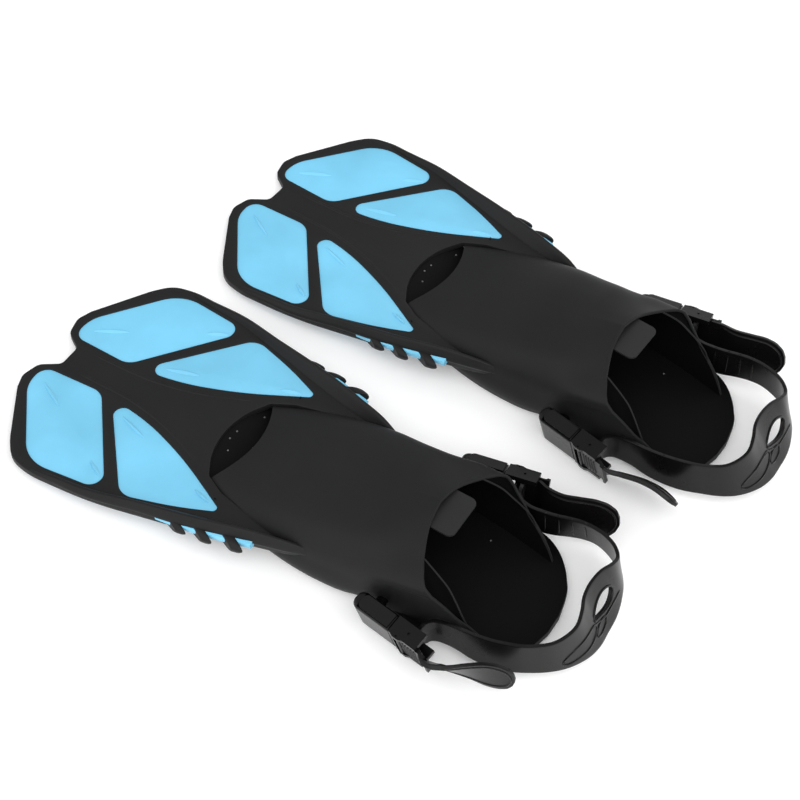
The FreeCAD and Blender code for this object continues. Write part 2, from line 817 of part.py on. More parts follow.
def make_pin(name, x, y, radius):
    """A plain pin between the cage's plates, sunk a little below their outer faces."""
    pin = new_body(name)
    sketch = new_sketch(pin, "XY_Plane", name + "_plan", "%s + %g" % (BOTTOM, PIN_SUNK))
    add_circle(sketch, x, y, radius)
    pad(pin, sketch, name + "_pad", "%s - %g" % (cell("buckle_height"), 2 * PIN_SUNK))
    return pin


def make_roller(name):
    """The roller that the strap turns round."""
    roller = new_body(name)
    sketch = new_sketch(roller, "XY_Plane", name + "_plan", "%s + %s" % (BOTTOM, ROLLER_GAP))
    add_circle(sketch, "0", "0", cell("roller_radius"))
    add_circle(sketch, "0", "0", "%s + %s" % (cell("roller_pin_radius"), cell("roller_clearance")))
    pad(roller, sketch, name + "_pad", "%s - 2 * %s" % (cell("buckle_height"), ROLLER_GAP))
    return roller


RIB_COUNT = 5
RIB_PITCH = 2.4
RIB_WIDTH = 1.3


def make_lever(name, side):
    """The lever that holds the strap against the roller, with grip ribs and a lifting flange."""
    lever = new_body(name)
    low = "%s + %s" % (BOTTOM, ROLLER_GAP)
    height = "%s - 2 * %s" % (cell("buckle_height"), ROLLER_GAP)
    pin_x = cell("lever_pin_x")
    pin_y = cell("lever_pin_y")
    barrel = new_sketch(lever, "XY_Plane", name + "_barrel", low)
    add_circle(barrel, pin_x, signed(side, pin_y), cell("lever_barrel_radius"))
    pad(lever, barrel, name + "_barrel_pad", height)
    inner = "(%s - %s)" % (pin_y, cell("lever_barrel_radius"))
    outer = "(%s + %s)" % (inner, cell("lever_thickness"))
    lip = "(%s + %s)" % (inner, cell("lever_flange"))
    end = "(%s + %s)" % (pin_x, cell("lever_length"))
    plate = new_sketch(lever, "XY_Plane", name + "_plate", low)
    add_polygon(plate, [
        (pin_x, signed(side, inner)),
        (end, signed(side, inner)),
        (end, signed(side, lip)),
        (end + " - 2", signed(side, lip)),
        (end + " - 3.2", signed(side, outer)),
        (pin_x, signed(side, outer)),
    ])
    pad(lever, plate, name + "_plate_pad", height)
    start = "%s + 3.4" % pin_x
    buried = outer + " - 0.3"
    corners = [
        (start, signed(side, buried)),
        ("%s + %g" % (start, RIB_COUNT * RIB_PITCH), signed(side, buried)),
    ]
    for i in reversed(range(RIB_COUNT)):
        foot = i * RIB_PITCH
        corners.append(("%s + %g" % (start, foot + RIB_WIDTH), signed(side, outer + " - 0.1")))
        corners.append(("%s + %g" % (start, foot + RIB_WIDTH / 2), signed(side, outer + " + 0.8")))
        if i > 0:
            corners.append(("%s + %g" % (start, foot), signed(side, outer + " - 0.1")))
    ribs = new_sketch(lever, "XY_Plane", name + "_ribs", low + " + 3")
    add_polygon(ribs, corners)
    pad(lever, ribs, name + "_ribs_pad", height + " - 6")
    bore = new_sketch(lever, "XY_Plane", name + "_bore", low + " - 1")
    add_circle(bore, pin_x, signed(side, pin_y), cell("lever_pin_radius") + " + 0.05")
    pocket(lever, bore, name + "_bore_cut", height + " + 2")
    return lever


# ---------------------------------------------------------------- instep tab
def tab_placement():
    """The tab lies under the pocket's roof just behind the rim's middle."""
    slope = FreeCAD.Rotation(V(0, 1, 0), 4.0)
    return FreeCAD.Placement(V(322.5, 0, 32.6), slope)


def make_instep_tab(name):
    """The small moulded tab inside the instep, which the wearer pulls on."""
    tab = new_body(name)
    half = cell("label_width") + " / 2"
    sketch = new_sketch(tab, "XY_Plane", name + "_outline")
    add_rectangle(sketch, "0", "-" + half, cell("label_length"), half)
    pad(tab, sketch, name + "_pad", cell("label_thickness"))
    fillet(tab, name + "_round", 5.0,
           lambda e: is_along(e, V(0, 0, 1)) and e.Vertexes[0].Point.x > dim("label_length") / 2)
    return tab


# ---------------------------------------------------------------- one fin
nodes = []


def keep(feature, fin, local=None):
    """Place a finished piece on its fin and list it for export."""
    place = fin_placement(fin)
    if local is not None:
        place = place.multiply(local)
    feature.Placement = place
    nodes.append(feature)


def side_name(fin, side):
    """Each fin has an outer buckle, away from the other fin, and an inner one."""
    outer = -1 if fin == "left" else 1
    return "outer" if side == outer else "inner"


def make_fin(fin, pocket_shape, plate, frame, strap):
    keep(shape_feature(fin + "_foot_pocket", pocket_shape), fin)
    keep(shape_feature(fin + "_blade_plate", plate), fin)
    keep(shape_feature(fin + "_blade_frame", frame), fin)
    keep(shape_feature(fin + "_heel_strap", strap), fin)
    keep(make_instep_tab(fin + "_instep_tab"), fin, tab_placement())
    for side in (1, -1):
        prefix = "%s_%s_" % (fin, side_name(fin, side))
        local = buckle_placement(side)
        keep(make_pivot_post(prefix + "pivot_post", side), fin)
        keep(make_receiver(prefix + "buckle_receiver", side), fin, local)
        keep(make_release_tab(prefix + "release_tab_upper", side, 1), fin, local)
        keep(make_release_tab(prefix + "release_tab_lower", side, -1), fin, local)
        keep(make_cage(prefix + "buckle_cage", side), fin, local)
        keep(make_roller(prefix + "strap_roller"), fin, local)
        keep(make_pin(prefix + "roller_pin", "0", "0", cell("roller_pin_radius")), fin, local)
        keep(make_lever(prefix + "buckle_lever", side), fin, local)
        lever_axis_y = signed(side, cell("lever_pin_y"))
        keep(make_pin(prefix + "lever_pin", cell("lever_pin_x"), lever_axis_y, cell("lever_pin_radius")),
             fin, local)


pocket_shape = foot_pocket_shape()
pocket_room = pocket_clearance()
plate_shape = largest_solid(blade_plate_shape().cut(pocket_room))
frame_shape = blade_frame_shape(plate_shape, pocket_room)
strap_shape = heel_strap_shape()
for fin_name in ("left", "right"):
    make_fin(fin_name, pocket_shape, plate_shape, frame_shape, strap_shape)
doc.recompute()

# The part's origin is the middle of the pair, on the floor.
whole = nodes[0].Shape.BoundBox
for node in nodes[1:]:
    whole.add(node.Shape.optimalBoundingBox(False, False))
shift = V(-whole.Center.x, -whole.Center.y, 0)
for node in nodes:
    node.Placement = FreeCAD.Placement(shift, FreeCAD.Rotation()).multiply(node.Placement)
doc.removeObject(scratch.Name)
doc.recompute()

for thing in doc.Objects:
    if "Invalid" in thing.State or "Error" in thing.State:
        raise RuntimeError("failed object: " + thing.Label)
for node in nodes:
    if node.Shape.isNull() or not node.Shape.isValid() or len(node.Shape.Solids) != 1:
        raise RuntimeError("bad shape: " + node.Label)

os.makedirs("parts", exist_ok=True)
for node in nodes:
    node.Shape.exportStep("parts/" + node.Label + ".step")
print("pieces", len(nodes), "origin shift", round(shift.x, 3), round(shift.y, 3))
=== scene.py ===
import json
import math

import bmesh
import bpy
import numpy as np
from mathutils import Matrix, Vector


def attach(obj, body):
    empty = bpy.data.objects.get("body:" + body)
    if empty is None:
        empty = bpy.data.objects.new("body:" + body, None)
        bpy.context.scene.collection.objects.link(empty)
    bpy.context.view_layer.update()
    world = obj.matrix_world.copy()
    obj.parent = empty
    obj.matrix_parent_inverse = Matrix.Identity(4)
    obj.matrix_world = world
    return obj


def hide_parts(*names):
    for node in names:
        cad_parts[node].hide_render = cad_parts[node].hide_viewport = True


# A pair of adjustable open-heel swim fins.
# Every shape below is drawn in its fin's own frame, in millimetres: X from the blade tip to the heel,
# Y across, Z up from the top of the blade plate. fin_frame() reads where that frame stands in the model.

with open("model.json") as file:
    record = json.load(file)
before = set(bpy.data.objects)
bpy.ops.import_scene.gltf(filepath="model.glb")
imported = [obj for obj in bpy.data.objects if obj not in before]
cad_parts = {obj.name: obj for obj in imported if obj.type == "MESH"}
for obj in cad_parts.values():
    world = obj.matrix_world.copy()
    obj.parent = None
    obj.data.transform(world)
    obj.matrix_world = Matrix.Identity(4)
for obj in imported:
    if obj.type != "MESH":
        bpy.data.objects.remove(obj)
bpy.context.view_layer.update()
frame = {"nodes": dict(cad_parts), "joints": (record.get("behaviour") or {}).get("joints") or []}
JOINTS = {j["name"]: j for j in frame["joints"]}
MM = 0.001
FINS = ("left", "right")

# The strap's pivot, in the fin's frame.
PIVOT = (317.0, 0.0, -15.5)


def fin_frame(fin):
    """The 4x4 array that takes a point of the fin's frame, in mm, to the model's, in m."""
    along = np.array(JOINTS[fin + "_buckle_unclip"]["axis"])
    across = -np.array(JOINTS[fin + "_strap_swing"]["axis"])
    up = np.cross(along, across)
    turn = np.array([along, across, up]).T * MM
    place = np.eye(4)
    place[:3, :3] = turn
    place[:3, 3] = np.array(JOINTS[fin + "_strap_swing"]["pos_m"]) - turn @ np.array(PIVOT)
    return place


PLACE = {fin: fin_frame(fin) for fin in FINS}


def at(fin, x, y, z):
    """A point of a fin's frame, in mm, as a point of the model, in m."""
    p = PLACE[fin] @ np.array([x, y, z, 1.0])
    return Vector(p[:3])


# ---------------------------------------------------------------- materials
def rubber(name, colour, rough, grain, depth, shine=0.25, painted_shade_and_highlight=1.0):
    """A moulded material with painted shade and highlight: where a face's painted-shade attribute is 1,
    colour and shine drop to the given share, a painted shade; other values scale in proportion, and below 0
    they grow paler, a painted highlight.
    """
    mat = bpy.data.materials.new(name)
    mat.use_nodes = True
    nodes = mat.node_tree.nodes
    links = mat.node_tree.links
    shader = nodes["Principled BSDF"]
    coord = nodes.new("ShaderNodeTexCoord")
    cloud = nodes.new("ShaderNodeTexNoise")
    cloud.inputs["Scale"].default_value = 22.0
    cloud.inputs["Detail"].default_value = 4.0
    links.new(coord.outputs["Object"], cloud.inputs["Vector"])
    ramp = nodes.new("ShaderNodeMapRange")
    ramp.inputs["To Min"].default_value = 0.82
    ramp.inputs["To Max"].default_value = 1.18
    links.new(cloud.outputs["Fac"], ramp.inputs["Value"])
    inside = nodes.new("ShaderNodeAttribute")
    inside.attribute_name = "painted_shade_and_highlight"
    share = nodes.new("ShaderNodeMapRange")
    share.clamp = False
    share.inputs["To Min"].default_value = 1.0
    share.inputs["To Max"].default_value = painted_shade_and_highlight
    links.new(inside.outputs["Fac"], share.inputs["Value"])
    level = nodes.new("ShaderNodeMath")
    level.operation = "MULTIPLY"
    links.new(ramp.outputs["Result"], level.inputs[0])
    links.new(share.outputs["Result"], level.inputs[1])
    gleam = nodes.new("ShaderNodeMath")
    gleam.operation = "MULTIPLY"
    gleam.inputs[1].default_value = shine
    links.new(share.outputs["Result"], gleam.inputs[0])
    links.new(gleam.outputs["Value"], shader.inputs["Specular IOR Level"])
    tint = nodes.new("ShaderNodeVectorMath")
    tint.operation = "SCALE"
    tint.inputs[0].default_value = colour
    links.new(level.outputs["Value"], tint.inputs["Scale"])
    links.new(tint.outputs["Vector"], shader.inputs["Base Color"])
    gloss = nodes.new("ShaderNodeMapRange")
    gloss.inputs["To Min"].default_value = rough - 0.05
    gloss.inputs["To Max"].default_value = rough + 0.07
    links.new(cloud.outputs["Fac"], gloss.inputs["Value"])
    links.new(gloss.outputs["Result"], shader.inputs["Roughness"])
    fine = nodes.new("ShaderNodeTexNoise")
    fine.inputs["Scale"].default_value = grain
    fine.inputs["Detail"].default_value = 3.0
    links.new(coord.outputs["Object"], fine.inputs["Vector"])
    bump = nodes.new("ShaderNodeBump")
    bump.inputs["Strength"].default_value = 0.35
    bump.inputs["Distance"].default_value = depth
    links.new(fine.outputs["Fac"], bump.inputs["Height"])
    links.new(bump.outputs["Normal"], shader.inputs["Normal"])
    return mat


MATS = {
    # The pocket's rubber drops to 0.3 of its colour and shine on marked faces, painting the shade inside the
    # shoe.
    "pocket_rubber": rubber("pocket_rubber", (0.0108, 0.0108, 0.0111), 0.55, 900.0, 0.0001, 0.15, 0.3),
    "frame_rubber": rubber("frame_rubber", (0.0104, 0.0104, 0.0107), 0.5, 900.0, 0.0001, 0.18),
    "blue_blade": rubber("blue_blade", (0.178, 0.525, 0.745), 0.3, 300.0, 0.00005, 0.25),
    "strap_rubber": rubber("strap_rubber", (0.0032, 0.0028, 0.0029), 0.27, 800.0, 0.00008, 0.23),
    "tab_rubber": rubber("tab_rubber", (0.0135, 0.0135, 0.014), 0.5, 900.0, 0.0001, 0.25),
    "buckle_plastic": rubber("buckle_plastic", (0.0025, 0.0025, 0.0026), 0.26, 1400.0, 0.00004, 0.2),
    "tab_plastic": rubber("tab_plastic", (0.003, 0.003, 0.0031), 0.28, 1400.0, 0.00004, 0.22),
    "roller_plastic": rubber("roller_plastic", (0.004, 0.004, 0.004), 0.3, 1400.0, 0.00004, 0.2),
    "steel_pin": rubber("steel_pin", (0.02, 0.02, 0.021), 0.4, 1400.0, 0.00002),
}
MATS["steel_pin"].node_tree.nodes["Principled BSDF"].inputs["Metallic"].default_value = 1.0

SLOT_OF = {
    "foot_pocket": "pocket_rubber",
    "blade_plate": "blue_blade",
    "blade_frame": "frame_rubber",
    "heel_strap": "strap_rubber",
    "instep_tab": "tab_rubber",
    "pivot_post": "buckle_plastic",
    "buckle_receiver": "buckle_plastic",
    "release_tab_upper": "tab_plastic",
    "release_tab_lower": "tab_plastic",
    "buckle_cage": "buckle_plastic",
    "strap_roller": "roller_plastic",
    "roller_pin": "steel_pin",
    "buckle_lever": "buckle_plastic",
    "lever_pin": "steel_pin",
}


# Widths of the bevels on the CAD pieces, in mm, by slot.
BEVELLED = {"buckle_plastic": 0.4, "tab_plastic": 0.4, "roller_plastic": 0.4, "tab_rubber": 0.9}


def dress(obj, slot):
    """Gives an object its material, and a bevel where its slot has one."""
    obj.data.materials.clear()
    obj.data.materials.append(MATS[slot])
    if slot in BEVELLED:
        bevel = obj.modifiers.new("soft edges", "BEVEL")
        bevel.width = BEVELLED[slot] * MM
        bevel.segments = 2
        bevel.limit_method = "ANGLE"
        bevel.angle_limit = math.radians(35)


for node_name, node in frame["nodes"].items():
    for ending, slot_name in SLOT_OF.items():
        if node_name.endswith(ending):
            dress(node, slot_name)


# ---------------------------------------------------------------- curves and meshes
def smooth(xs, ys, x):
    """Values at x of a smooth curve through the points (xs, ys); ys may have several columns."""
    xs = np.asarray(xs, float)
    ys = np.asarray(ys, float).reshape(len(xs), -1)
    x = np.clip(np.asarray(x, float), xs[0], xs[-1])
    step = np.diff(xs)[:, None]
    slope = np.diff(ys, axis=0) / step
    tangent = np.vstack([slope[:1], (slope[:-1] * step[1:] + slope[1:] * step[:-1]) / (step[:-1] + step[1:]),
                         slope[-1:]])
    i = np.clip(np.searchsorted(xs, x, side="right") - 1, 0, len(xs) - 2)
    h = step[i]
    t = (x - xs[i])[:, None] / h
    value = ((1 + 2 * t) * (1 - t) ** 2 * ys[i] + t * (1 - t) ** 2 * h * tangent[i]
             + t * t * (3 - 2 * t) * ys[i + 1] + t * t * (t - 1) * h * tangent[i + 1])
    return value[:, 0] if value.shape[1] == 1 else value


def along_points(points, count):
    """count evenly spaced points on a smooth curve through the given points."""
    points = np.asarray(points, float)
    chord = np.concatenate([[0], np.cumsum(np.linalg.norm(np.diff(points, axis=0), axis=1))])
    fine = smooth(chord, points, np.linspace(0, chord[-1], 12 * len(points)))
    length = np.concatenate([[0], np.cumsum(np.linalg.norm(np.diff(fine, axis=0), axis=1))])
    spots = np.linspace(0, length[-1], count)
    return np.stack([np.interp(spots, length, fine[:, k]) for k in range(points.shape[1])], axis=1)


def rounded(corners, steps):
    """A closed outline through (x, y, radius) corners, each rounded by its radius."""
    out = []
    count = len(corners)
    for i, (x, y, radius) in enumerate(corners):
        here = np.array([x, y], float)
        before = np.array(corners[i - 1][:2], float) - here
        after = np.array(corners[(i + 1) % count][:2], float) - here
        reach = min(np.linalg.norm(before), np.linalg.norm(after)) * 0.48
        before /= np.linalg.norm(before)
        after /= np.linalg.norm(after)
        half = math.acos(np.clip(before @ after, -1, 1)) / 2
        cut = min(radius / math.tan(half), reach) if radius > 0 and half < 1.55 else 0.0
        if cut < 0.05:
            out.append(here)
            continue
        radius = cut * math.tan(half)
        middle = here + (before + after) / np.linalg.norm(before + after) * radius / math.sin(half)
        start = here + before * cut - middle
        end = here + after * cut - middle
        a0 = math.atan2(start[1], start[0])
        turn = (math.atan2(end[1], end[0]) - a0 + math.pi) % (2 * math.pi) - math.pi
        for k in range(steps + 1):
            a = a0 + turn * k / steps
            out.append(middle + radius * np.array([math.cos(a), math.sin(a)]))
    return np.array(out)


def mirror(corners):
    """The same outline on the other side of the fin, run the same way round."""
    return [(x, -y, r) for x, y, r in reversed(corners)]


class Shape:
    """Vertices and faces of one piece, in a fin's frame, in mm."""

    def __init__(self):
        self.points = []
        self.faces = []

    def add(self, points, faces):
        start = len(self.points)
        self.points.extend(map(tuple, points))
        self.faces.extend([tuple(start + i for i in face) for face in faces])

    def loft(self, rings):
        """A closed skin over rings of the same number of points, with flat ends."""
        n = len(rings[0])
        faces = []
        for k in range(len(rings) - 1):
            for i in range(n):
                j = (i + 1) % n
                faces.append((k * n + i, k * n + j, (k + 1) * n + j, (k + 1) * n + i))
        faces.append(tuple(reversed(range(n))))
        faces.append(tuple((len(rings) - 1) * n + i for i in range(n)))
        self.add([p for ring in rings for p in ring], faces)

    def grid(self, grid):
        """An open sheet over an array of points."""
        rows, cols = grid.shape[:2]
        faces = []
        for i in range(rows - 1):
            for j in range(cols - 1):
                a = i * cols + j
                faces.append((a, a + 1, a + cols + 1, a + cols))
        self.add(grid.reshape(-1, 3), faces)

    def mirrored(self):
        other = Shape()
        other.points = [(x, -y, z) for x, y, z in self.points]
        other.faces = [tuple(reversed(face)) for face in self.faces]
        return other

    def join(self, other):
        self.add(other.points, other.faces)
        return self

    def mesh(self, name, fin, outward=True):
        co = np.c_[np.array(self.points, float), np.ones(len(self.points))] @ PLACE[fin].T
        mesh = bpy.data.meshes.new(name)
        mesh.from_pydata(co[:, :3].tolist(), [], self.faces)
        if outward:
            work = bmesh.new()
            work.from_mesh(mesh)
            bmesh.ops.recalc_face_normals(work, faces=work.faces)
            work.to_mesh(mesh)
            work.free()
        return mesh


SHARP_ANGLE = math.radians(38.0)


def make_piece(name, mesh, slot_name, body, nodes):
    """Shows a finished mesh as a piece of the object, riding on a body in place of CAD nodes."""
    mesh.polygons.foreach_set("use_smooth", [True] * len(mesh.polygons))
    mesh.set_sharp_from_angle(angle=SHARP_ANGLE)
    piece = bpy.data.objects.new(name, mesh)
    bpy.context.scene.collection.objects.link(piece)
    dress(piece, slot_name)
    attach(piece, body)
    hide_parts(*nodes)


def finished(mesh, *modifiers):
    """A mesh with modifiers applied: each is (type, settings)."""
    thing = bpy.data.objects.new("work", mesh)
    bpy.context.scene.collection.objects.link(thing)
    for kind, settings in modifiers:
        modifier = thing.modifiers.new(kind, kind)
        for key, value in settings.items():
            setattr(modifier, key, value)
    bpy.context.view_layer.update()
    result = bpy.data.meshes.new_from_object(thing.evaluated_get(bpy.context.evaluated_depsgraph_get()))
    bpy.data.objects.remove(thing)
    return result


def thicken(thickness, offset=0.0, even=True):
    return ("SOLIDIFY", {"thickness": thickness * MM, "offset": offset, "use_even_offset": even})


def soften(width, segments, angle):
    return ("BEVEL", {"width": width * MM, "segments": segments, "limit_method": "ANGLE",
                      "angle_limit": math.radians(angle)})


def flat_plate(shape, loops, low, high, bevel):
    """Adds a flat plate to a shape: the first loop is its outline, the others are holes."""
    curve = bpy.data.curves.new("plate", "CURVE")
    curve.dimensions = "2D"
    curve.fill_mode = "BOTH"
    curve.extrude = (high - low) / 2 - bevel
    curve.bevel_depth = bevel
    curve.bevel_resolution = 2
    curve.offset = -bevel
    for k, loop in enumerate(loops):
        area = np.sum(loop[:, 0] * np.roll(loop[:, 1], -1) - np.roll(loop[:, 0], -1) * loop[:, 1])
        if (area < 0) == (k == 0):
            loop = loop[::-1]
        spline = curve.splines.new("POLY")
        spline.points.add(len(loop) - 1)
        for point, (x, y) in zip(spline.points, loop):
            point.co = (x, y, 0, 1)
        spline.use_cyclic_u = True
    thing = bpy.data.objects.new("plate", curve)
    bpy.context.scene.collection.objects.link(thing)
    bpy.context.view_layer.update()
    mesh = bpy.data.meshes.new_from_object(thing.evaluated_get(bpy.context.evaluated_depsgraph_get()))
    bpy.data.objects.remove(thing)
    work = bmesh.new()
    work.from_mesh(mesh)
    bmesh.ops.remove_doubles(work, verts=work.verts, dist=1e-4)
    middle = (low + high) / 2
    shape.add([(v.co.x, v.co.y, v.co.z + middle) for v in work.verts],
              [tuple(v.index for v in f.verts) for f in work.faces])
    work.free()


BEAD_SIDES = 8


def tube(shape, points, radius):
    """A round bead along points, thinner at its two ends."""
    points = np.asarray(points, float)
    along = np.gradient(points, axis=0)
    along /= np.linalg.norm(along, axis=1, keepdims=True)
    side = np.cross(along, [0.31, 0.2, 0.93])
    side /= np.linalg.norm(side, axis=1, keepdims=True)
    up = np.cross(side, along)
    rings = []
    for k, p in enumerate(points):
        grow = min(1.0, 0.3 + 0.7 * min(k, len(points) - 1 - k) / 2)
        rings.append([p + radius * grow * (math.cos(a) * side[k] + math.sin(a) * up[k])
                      for a in np.linspace(0, 2 * math.pi, BEAD_SIDES, endpoint=False)])
    shape.loft(rings)


# ---------------------------------------------------------------- the blade
# Half of the blade's outline from the notch at the tip, and its two windows: (x, y, corner radius).
HALF_OUTLINE = [
    (18.0, 9.0, 6.0), (4.0, 18.0, 9.0), (0.5, 32.0, 10.0), (4.5, 43.0, 4.0), (30.0, 83.0, 60.0),
    (41.0, 96.0, 40.0), (60.0, 99.6, 60.0), (108.0, 96.8, 500.0), (163.0, 85.0, 500.0), (226.0, 69.0, 200.0),
    (250.0, 62.5, 8.0), (236.0, 57.0, 2.0), (205.0, 51.0, 40.0), (183.0, 46.0, 20.0), (167.5, 38.0, 4.0),
    (158.0, 22.0, 50.0), (154.6, 6.0, 60.0),
]
OUTER_PANEL = [
    (8.3, 17.5, 10.0), (58.5, 15.5, 14.0), (114.6, 86.5, 9.0), (52.0, 93.0, 30.0), (8.6, 37.0, 26.0),
]
INNER_PANEL = [
    (68.0, 16.0, 8.0), (104.0, 21.0, 400.0), (144.0, 35.0, 400.0), (192.5, 59.7, 3.0), (163.0, 72.2, 400.0),
    (125.0, 83.4, 14.0),
]
FRAME_TOP = 1.6
FRAME_BOTTOM = -4.0
PANEL_TOP = 0.7
PANEL_BOTTOM = -2.6
# How far a panel reaches past its window.
PANEL_LAP = 0.6
# Raised streaks on the panels, by their two ends, and their cross-section: (across, rise).
STREAKS = [((18.0, 29.0), (41.0, 41.5)), ((90.0, 69.5), (104.0, 77.0)), ((85.0, 26.0), (109.0, 33.5)),
           ((166.0, 52.5), (181.0, 57.0))]
STREAK_SECTION = [(-1.9, -0.3), (-1.2, 0.15), (0.2, 1.25), (0.75, 1.35), (1.3, 0.9), (1.6, -0.3)]
# Ridges that run down the middle of the blade.
CHANNEL = [(22.0, 10.0), (50.0, 10.2), (83.0, 11.5), (123.0, 20.5), (143.0, 28.5), (168.0, 38.5)]
# The side rails: (x, inner edge, crest, crest height, outer edge).
RAIL = [(60.0, 95.0, 97.0, 2.2, 98.9), (80.0, 92.5, 95.6, 3.4, 98.4), (103.0, 90.0, 94.0, 5.0, 97.4),
        (143.0, 80.0, 86.0, 8.0, 89.6), (181.0, 70.0, 78.5, 9.5, 82.8), (223.0, 60.0, 68.0, 10.4, 72.0),
        (250.0, 55.0, 61.0, 8.0, 64.0), (262.0, 52.0, 56.5, 4.5, 59.0)]
RAIL_BOTTOM = -5.0
# The keels under the rails: (x, inner edge, outer edge, top, bottom).
KEEL = [(157.0, 80.0, 86.6, 2.0, -2.6), (187.0, 75.0, 83.0, 3.2, -1.8), (226.0, 66.0, 74.2, 4.0, -1.0)]
# The bars across each keel, by their start and end, and how far back their outer ends lie.
LUGS = [(156.0, 165.0), (175.5, 184.5), (197.5, 206.5)]
LUG_SLANT = 17.0


def closed_curve(points, count):
    """A smooth closed ring through the points of one cross-section."""
    points = np.asarray(points, float)
    looped = np.vstack([points[-2:], points, points[:3]])
    steps = np.arange(len(looped), dtype=float)
    return smooth(steps, looped, 2 + np.arange(count) * len(points) / count)


def section_at(table, x):
    """The values of a table of (x, value, ...) rows at a station x."""
    return smooth([row[0] for row in table], [row[1:] for row in table], [x])[0]


def panel_corners():
    return [corners for panel in (OUTER_PANEL, INNER_PANEL) for corners in (panel, mirror(panel))]


def channel_ridge(half):
    """The ridge down the middle of one half of the blade."""
    ridge = along_points([(x, y, FRAME_TOP - 0.5) for x, y in CHANNEL], 60)
    rings = []
    for k, (x, y, z) in enumerate(ridge):
        taper = min(1.0, 0.2 + 0.8 * min(k, 59 - k) / 8)
        rings.append([(x, y + 1.5 * math.cos(a) * taper, z + 0.85 * math.sin(a) * taper)
                      for a in np.linspace(0, 2 * math.pi, 10, endpoint=False)])
    half.loft(rings)


def side_rail(half):
    rings = []
    for x in np.linspace(RAIL[0][0], RAIL[-1][0], 70):
        inner, crest, top, outer = section_at(RAIL, x)
        side = 0.45 * top - 1.0
        section = [
            (inner, RAIL_BOTTOM + 1.5), (inner + 0.3, 0.8),
            (inner + 0.35 * (crest - inner), 0.35 * top + 1.0), (crest - 1.6, top - 0.5),
            (crest + 0.6, top), (crest + 0.5 * (outer - crest), 0.8 * top),
            (outer - 0.2, side + 1.2), (outer, side - 1.0), (outer - 1.4, side - 3.0),
            (outer - 2.6, RAIL_BOTTOM + 0.6), (outer - 5.0, RAIL_BOTTOM), (inner + 2.0, RAIL_BOTTOM),
        ]
        rings.append([(x, y, z) for y, z in closed_curve(section, 36)])
    half.loft(rings)


def keel_lugs(half):
    for x0, x1 in LUGS:
        rings = []
        for k, x in enumerate(np.linspace(x0, x1, 9)):
            inner, outer, top, bottom = section_at(KEEL, x)
            puff = 1.0 - (abs(k - 4) / 4.0) ** 4
            edge = outer + 0.3 + 1.1 * puff
            section = [
                (inner + 1.0, bottom - 2.0), (inner + 1.0, top + 0.4),
                (edge - 3.4, top + 1.0 + 0.6 * puff), (edge - 0.8, top - 0.2), (edge, top - 2.2),
                (edge - 0.8, bottom - 0.8), (edge - 3.0, bottom - 2.0),
            ]
            ring = closed_curve(section, 24)
            rings.append([(x + LUG_SLANT * (y - inner) / (edge - inner), y, z) for y, z in ring])
        half.loft(rings)


def blade_frame():
    shape = Shape()
    outline = rounded(HALF_OUTLINE + mirror(HALF_OUTLINE), 10)
    windows = [rounded(corners, 12) for corners in panel_corners()]
    flat_plate(shape, [outline] + windows, FRAME_BOTTOM, FRAME_TOP, 0.7)
    half = Shape()
    channel_ridge(half)
    side_rail(half)
    keel_lugs(half)
    return shape.join(half).join(half.mirrored())


def blade_panels():
    shape = Shape()
    for corners in panel_corners():
        outline = rounded(corners, 12)
        middle = outline.mean(axis=0)
        away = outline - middle
        grown = middle + away * (1 + PANEL_LAP / np.linalg.norm(away, axis=1, keepdims=True))
        flat_plate(shape, [grown], PANEL_BOTTOM, PANEL_TOP, 0.3)
    half = Shape()
    for start, end in STREAKS:
        line = np.linspace(start, end, 24)
        across = np.array([start[1] - end[1], end[0] - start[0]])
        across = across / np.linalg.norm(across)
        rings = []
        for k, spot in enumerate(line):
            grow = max(math.sin(math.pi * (k + 0.35) / 23.7), 0.05) ** 0.6
            ring = []
            for side, rise in STREAK_SECTION:
                ring.append((spot[0] + across[0] * side * grow, spot[1] + across[1] * side * grow,
                             PANEL_TOP + rise * grow))
            rings.append(ring)
        half.loft(rings)
    rings = []
    for x in np.linspace(KEEL[0][0], KEEL[-1][0], 40):
        inner, outer, top, bottom = section_at(KEEL, x)
        section = [(inner, bottom), (inner, top + 0.6), (outer - 1.2, top + 0.3), (outer - 0.1, top - 0.6),
                   (outer, top - 1.6), (outer - 0.7, bottom + 0.4), (outer - 1.8, bottom)]
        rings.append([(x, y, z) for y, z in closed_curve(section, 24)])
    half.loft(rings)
    return shape.join(half).join(half.mirrored())


# ---------------------------------------------------------------- the foot pocket
TILT = math.tan(math.radians(4.8))
# The pocket's outside: (x, half width, top, rise of the underside, width shares low down and at the bottom).
POCKET = [
    (148.0, 31.0, 1.3, 9.5, 0.98, 0.92), (160.0, 38.0, 2.2, 6.5, 0.98, 0.92),
    (183.0, 49.0, 5.0, 2.0, 0.99, 0.93), (223.0, 58.0, 15.5, 0.0, 1.0, 0.94),
    (263.0, 60.0, 26.0, 0.0, 1.01, 0.95), (285.0, 58.8, 30.0, 0.0, 1.0, 0.93),
    (300.0, 58.0, 33.4, 0.0, 0.955, 0.87), (332.0, 56.5, 40.2, 0.0, 0.95, 0.87),
    (365.0, 53.0, 47.0, 0.0, 0.96, 0.9), (390.0, 49.0, 49.0, 0.0, 0.97, 0.92),
    (425.0, 46.0, 50.0, 0.0, 0.98, 0.94),
]
# The edge of the foot opening, as (x, z).
RIM = [(318.0, 60.0), (328.0, 39.9), (330.5, 35.7), (334.0, 32.3), (338.0, 28.5), (342.0, 26.1),
       (346.0, 23.0), (350.0, 19.2), (354.0, 14.4), (358.0, 10.0), (362.0, 5.9), (366.0, 1.4),
       (370.0, -3.0), (374.0, -6.4), (378.5, -9.8), (385.0, -17.0), (390.5, -25.0), (394.0, -32.0),
       (397.0, -42.0)]
# Thickness of the shoe's wall, of its sole, and the width of the sole's softened edge.
WALL = 2.2
SOLE = 6.0
SOLE_EDGE = 1.6
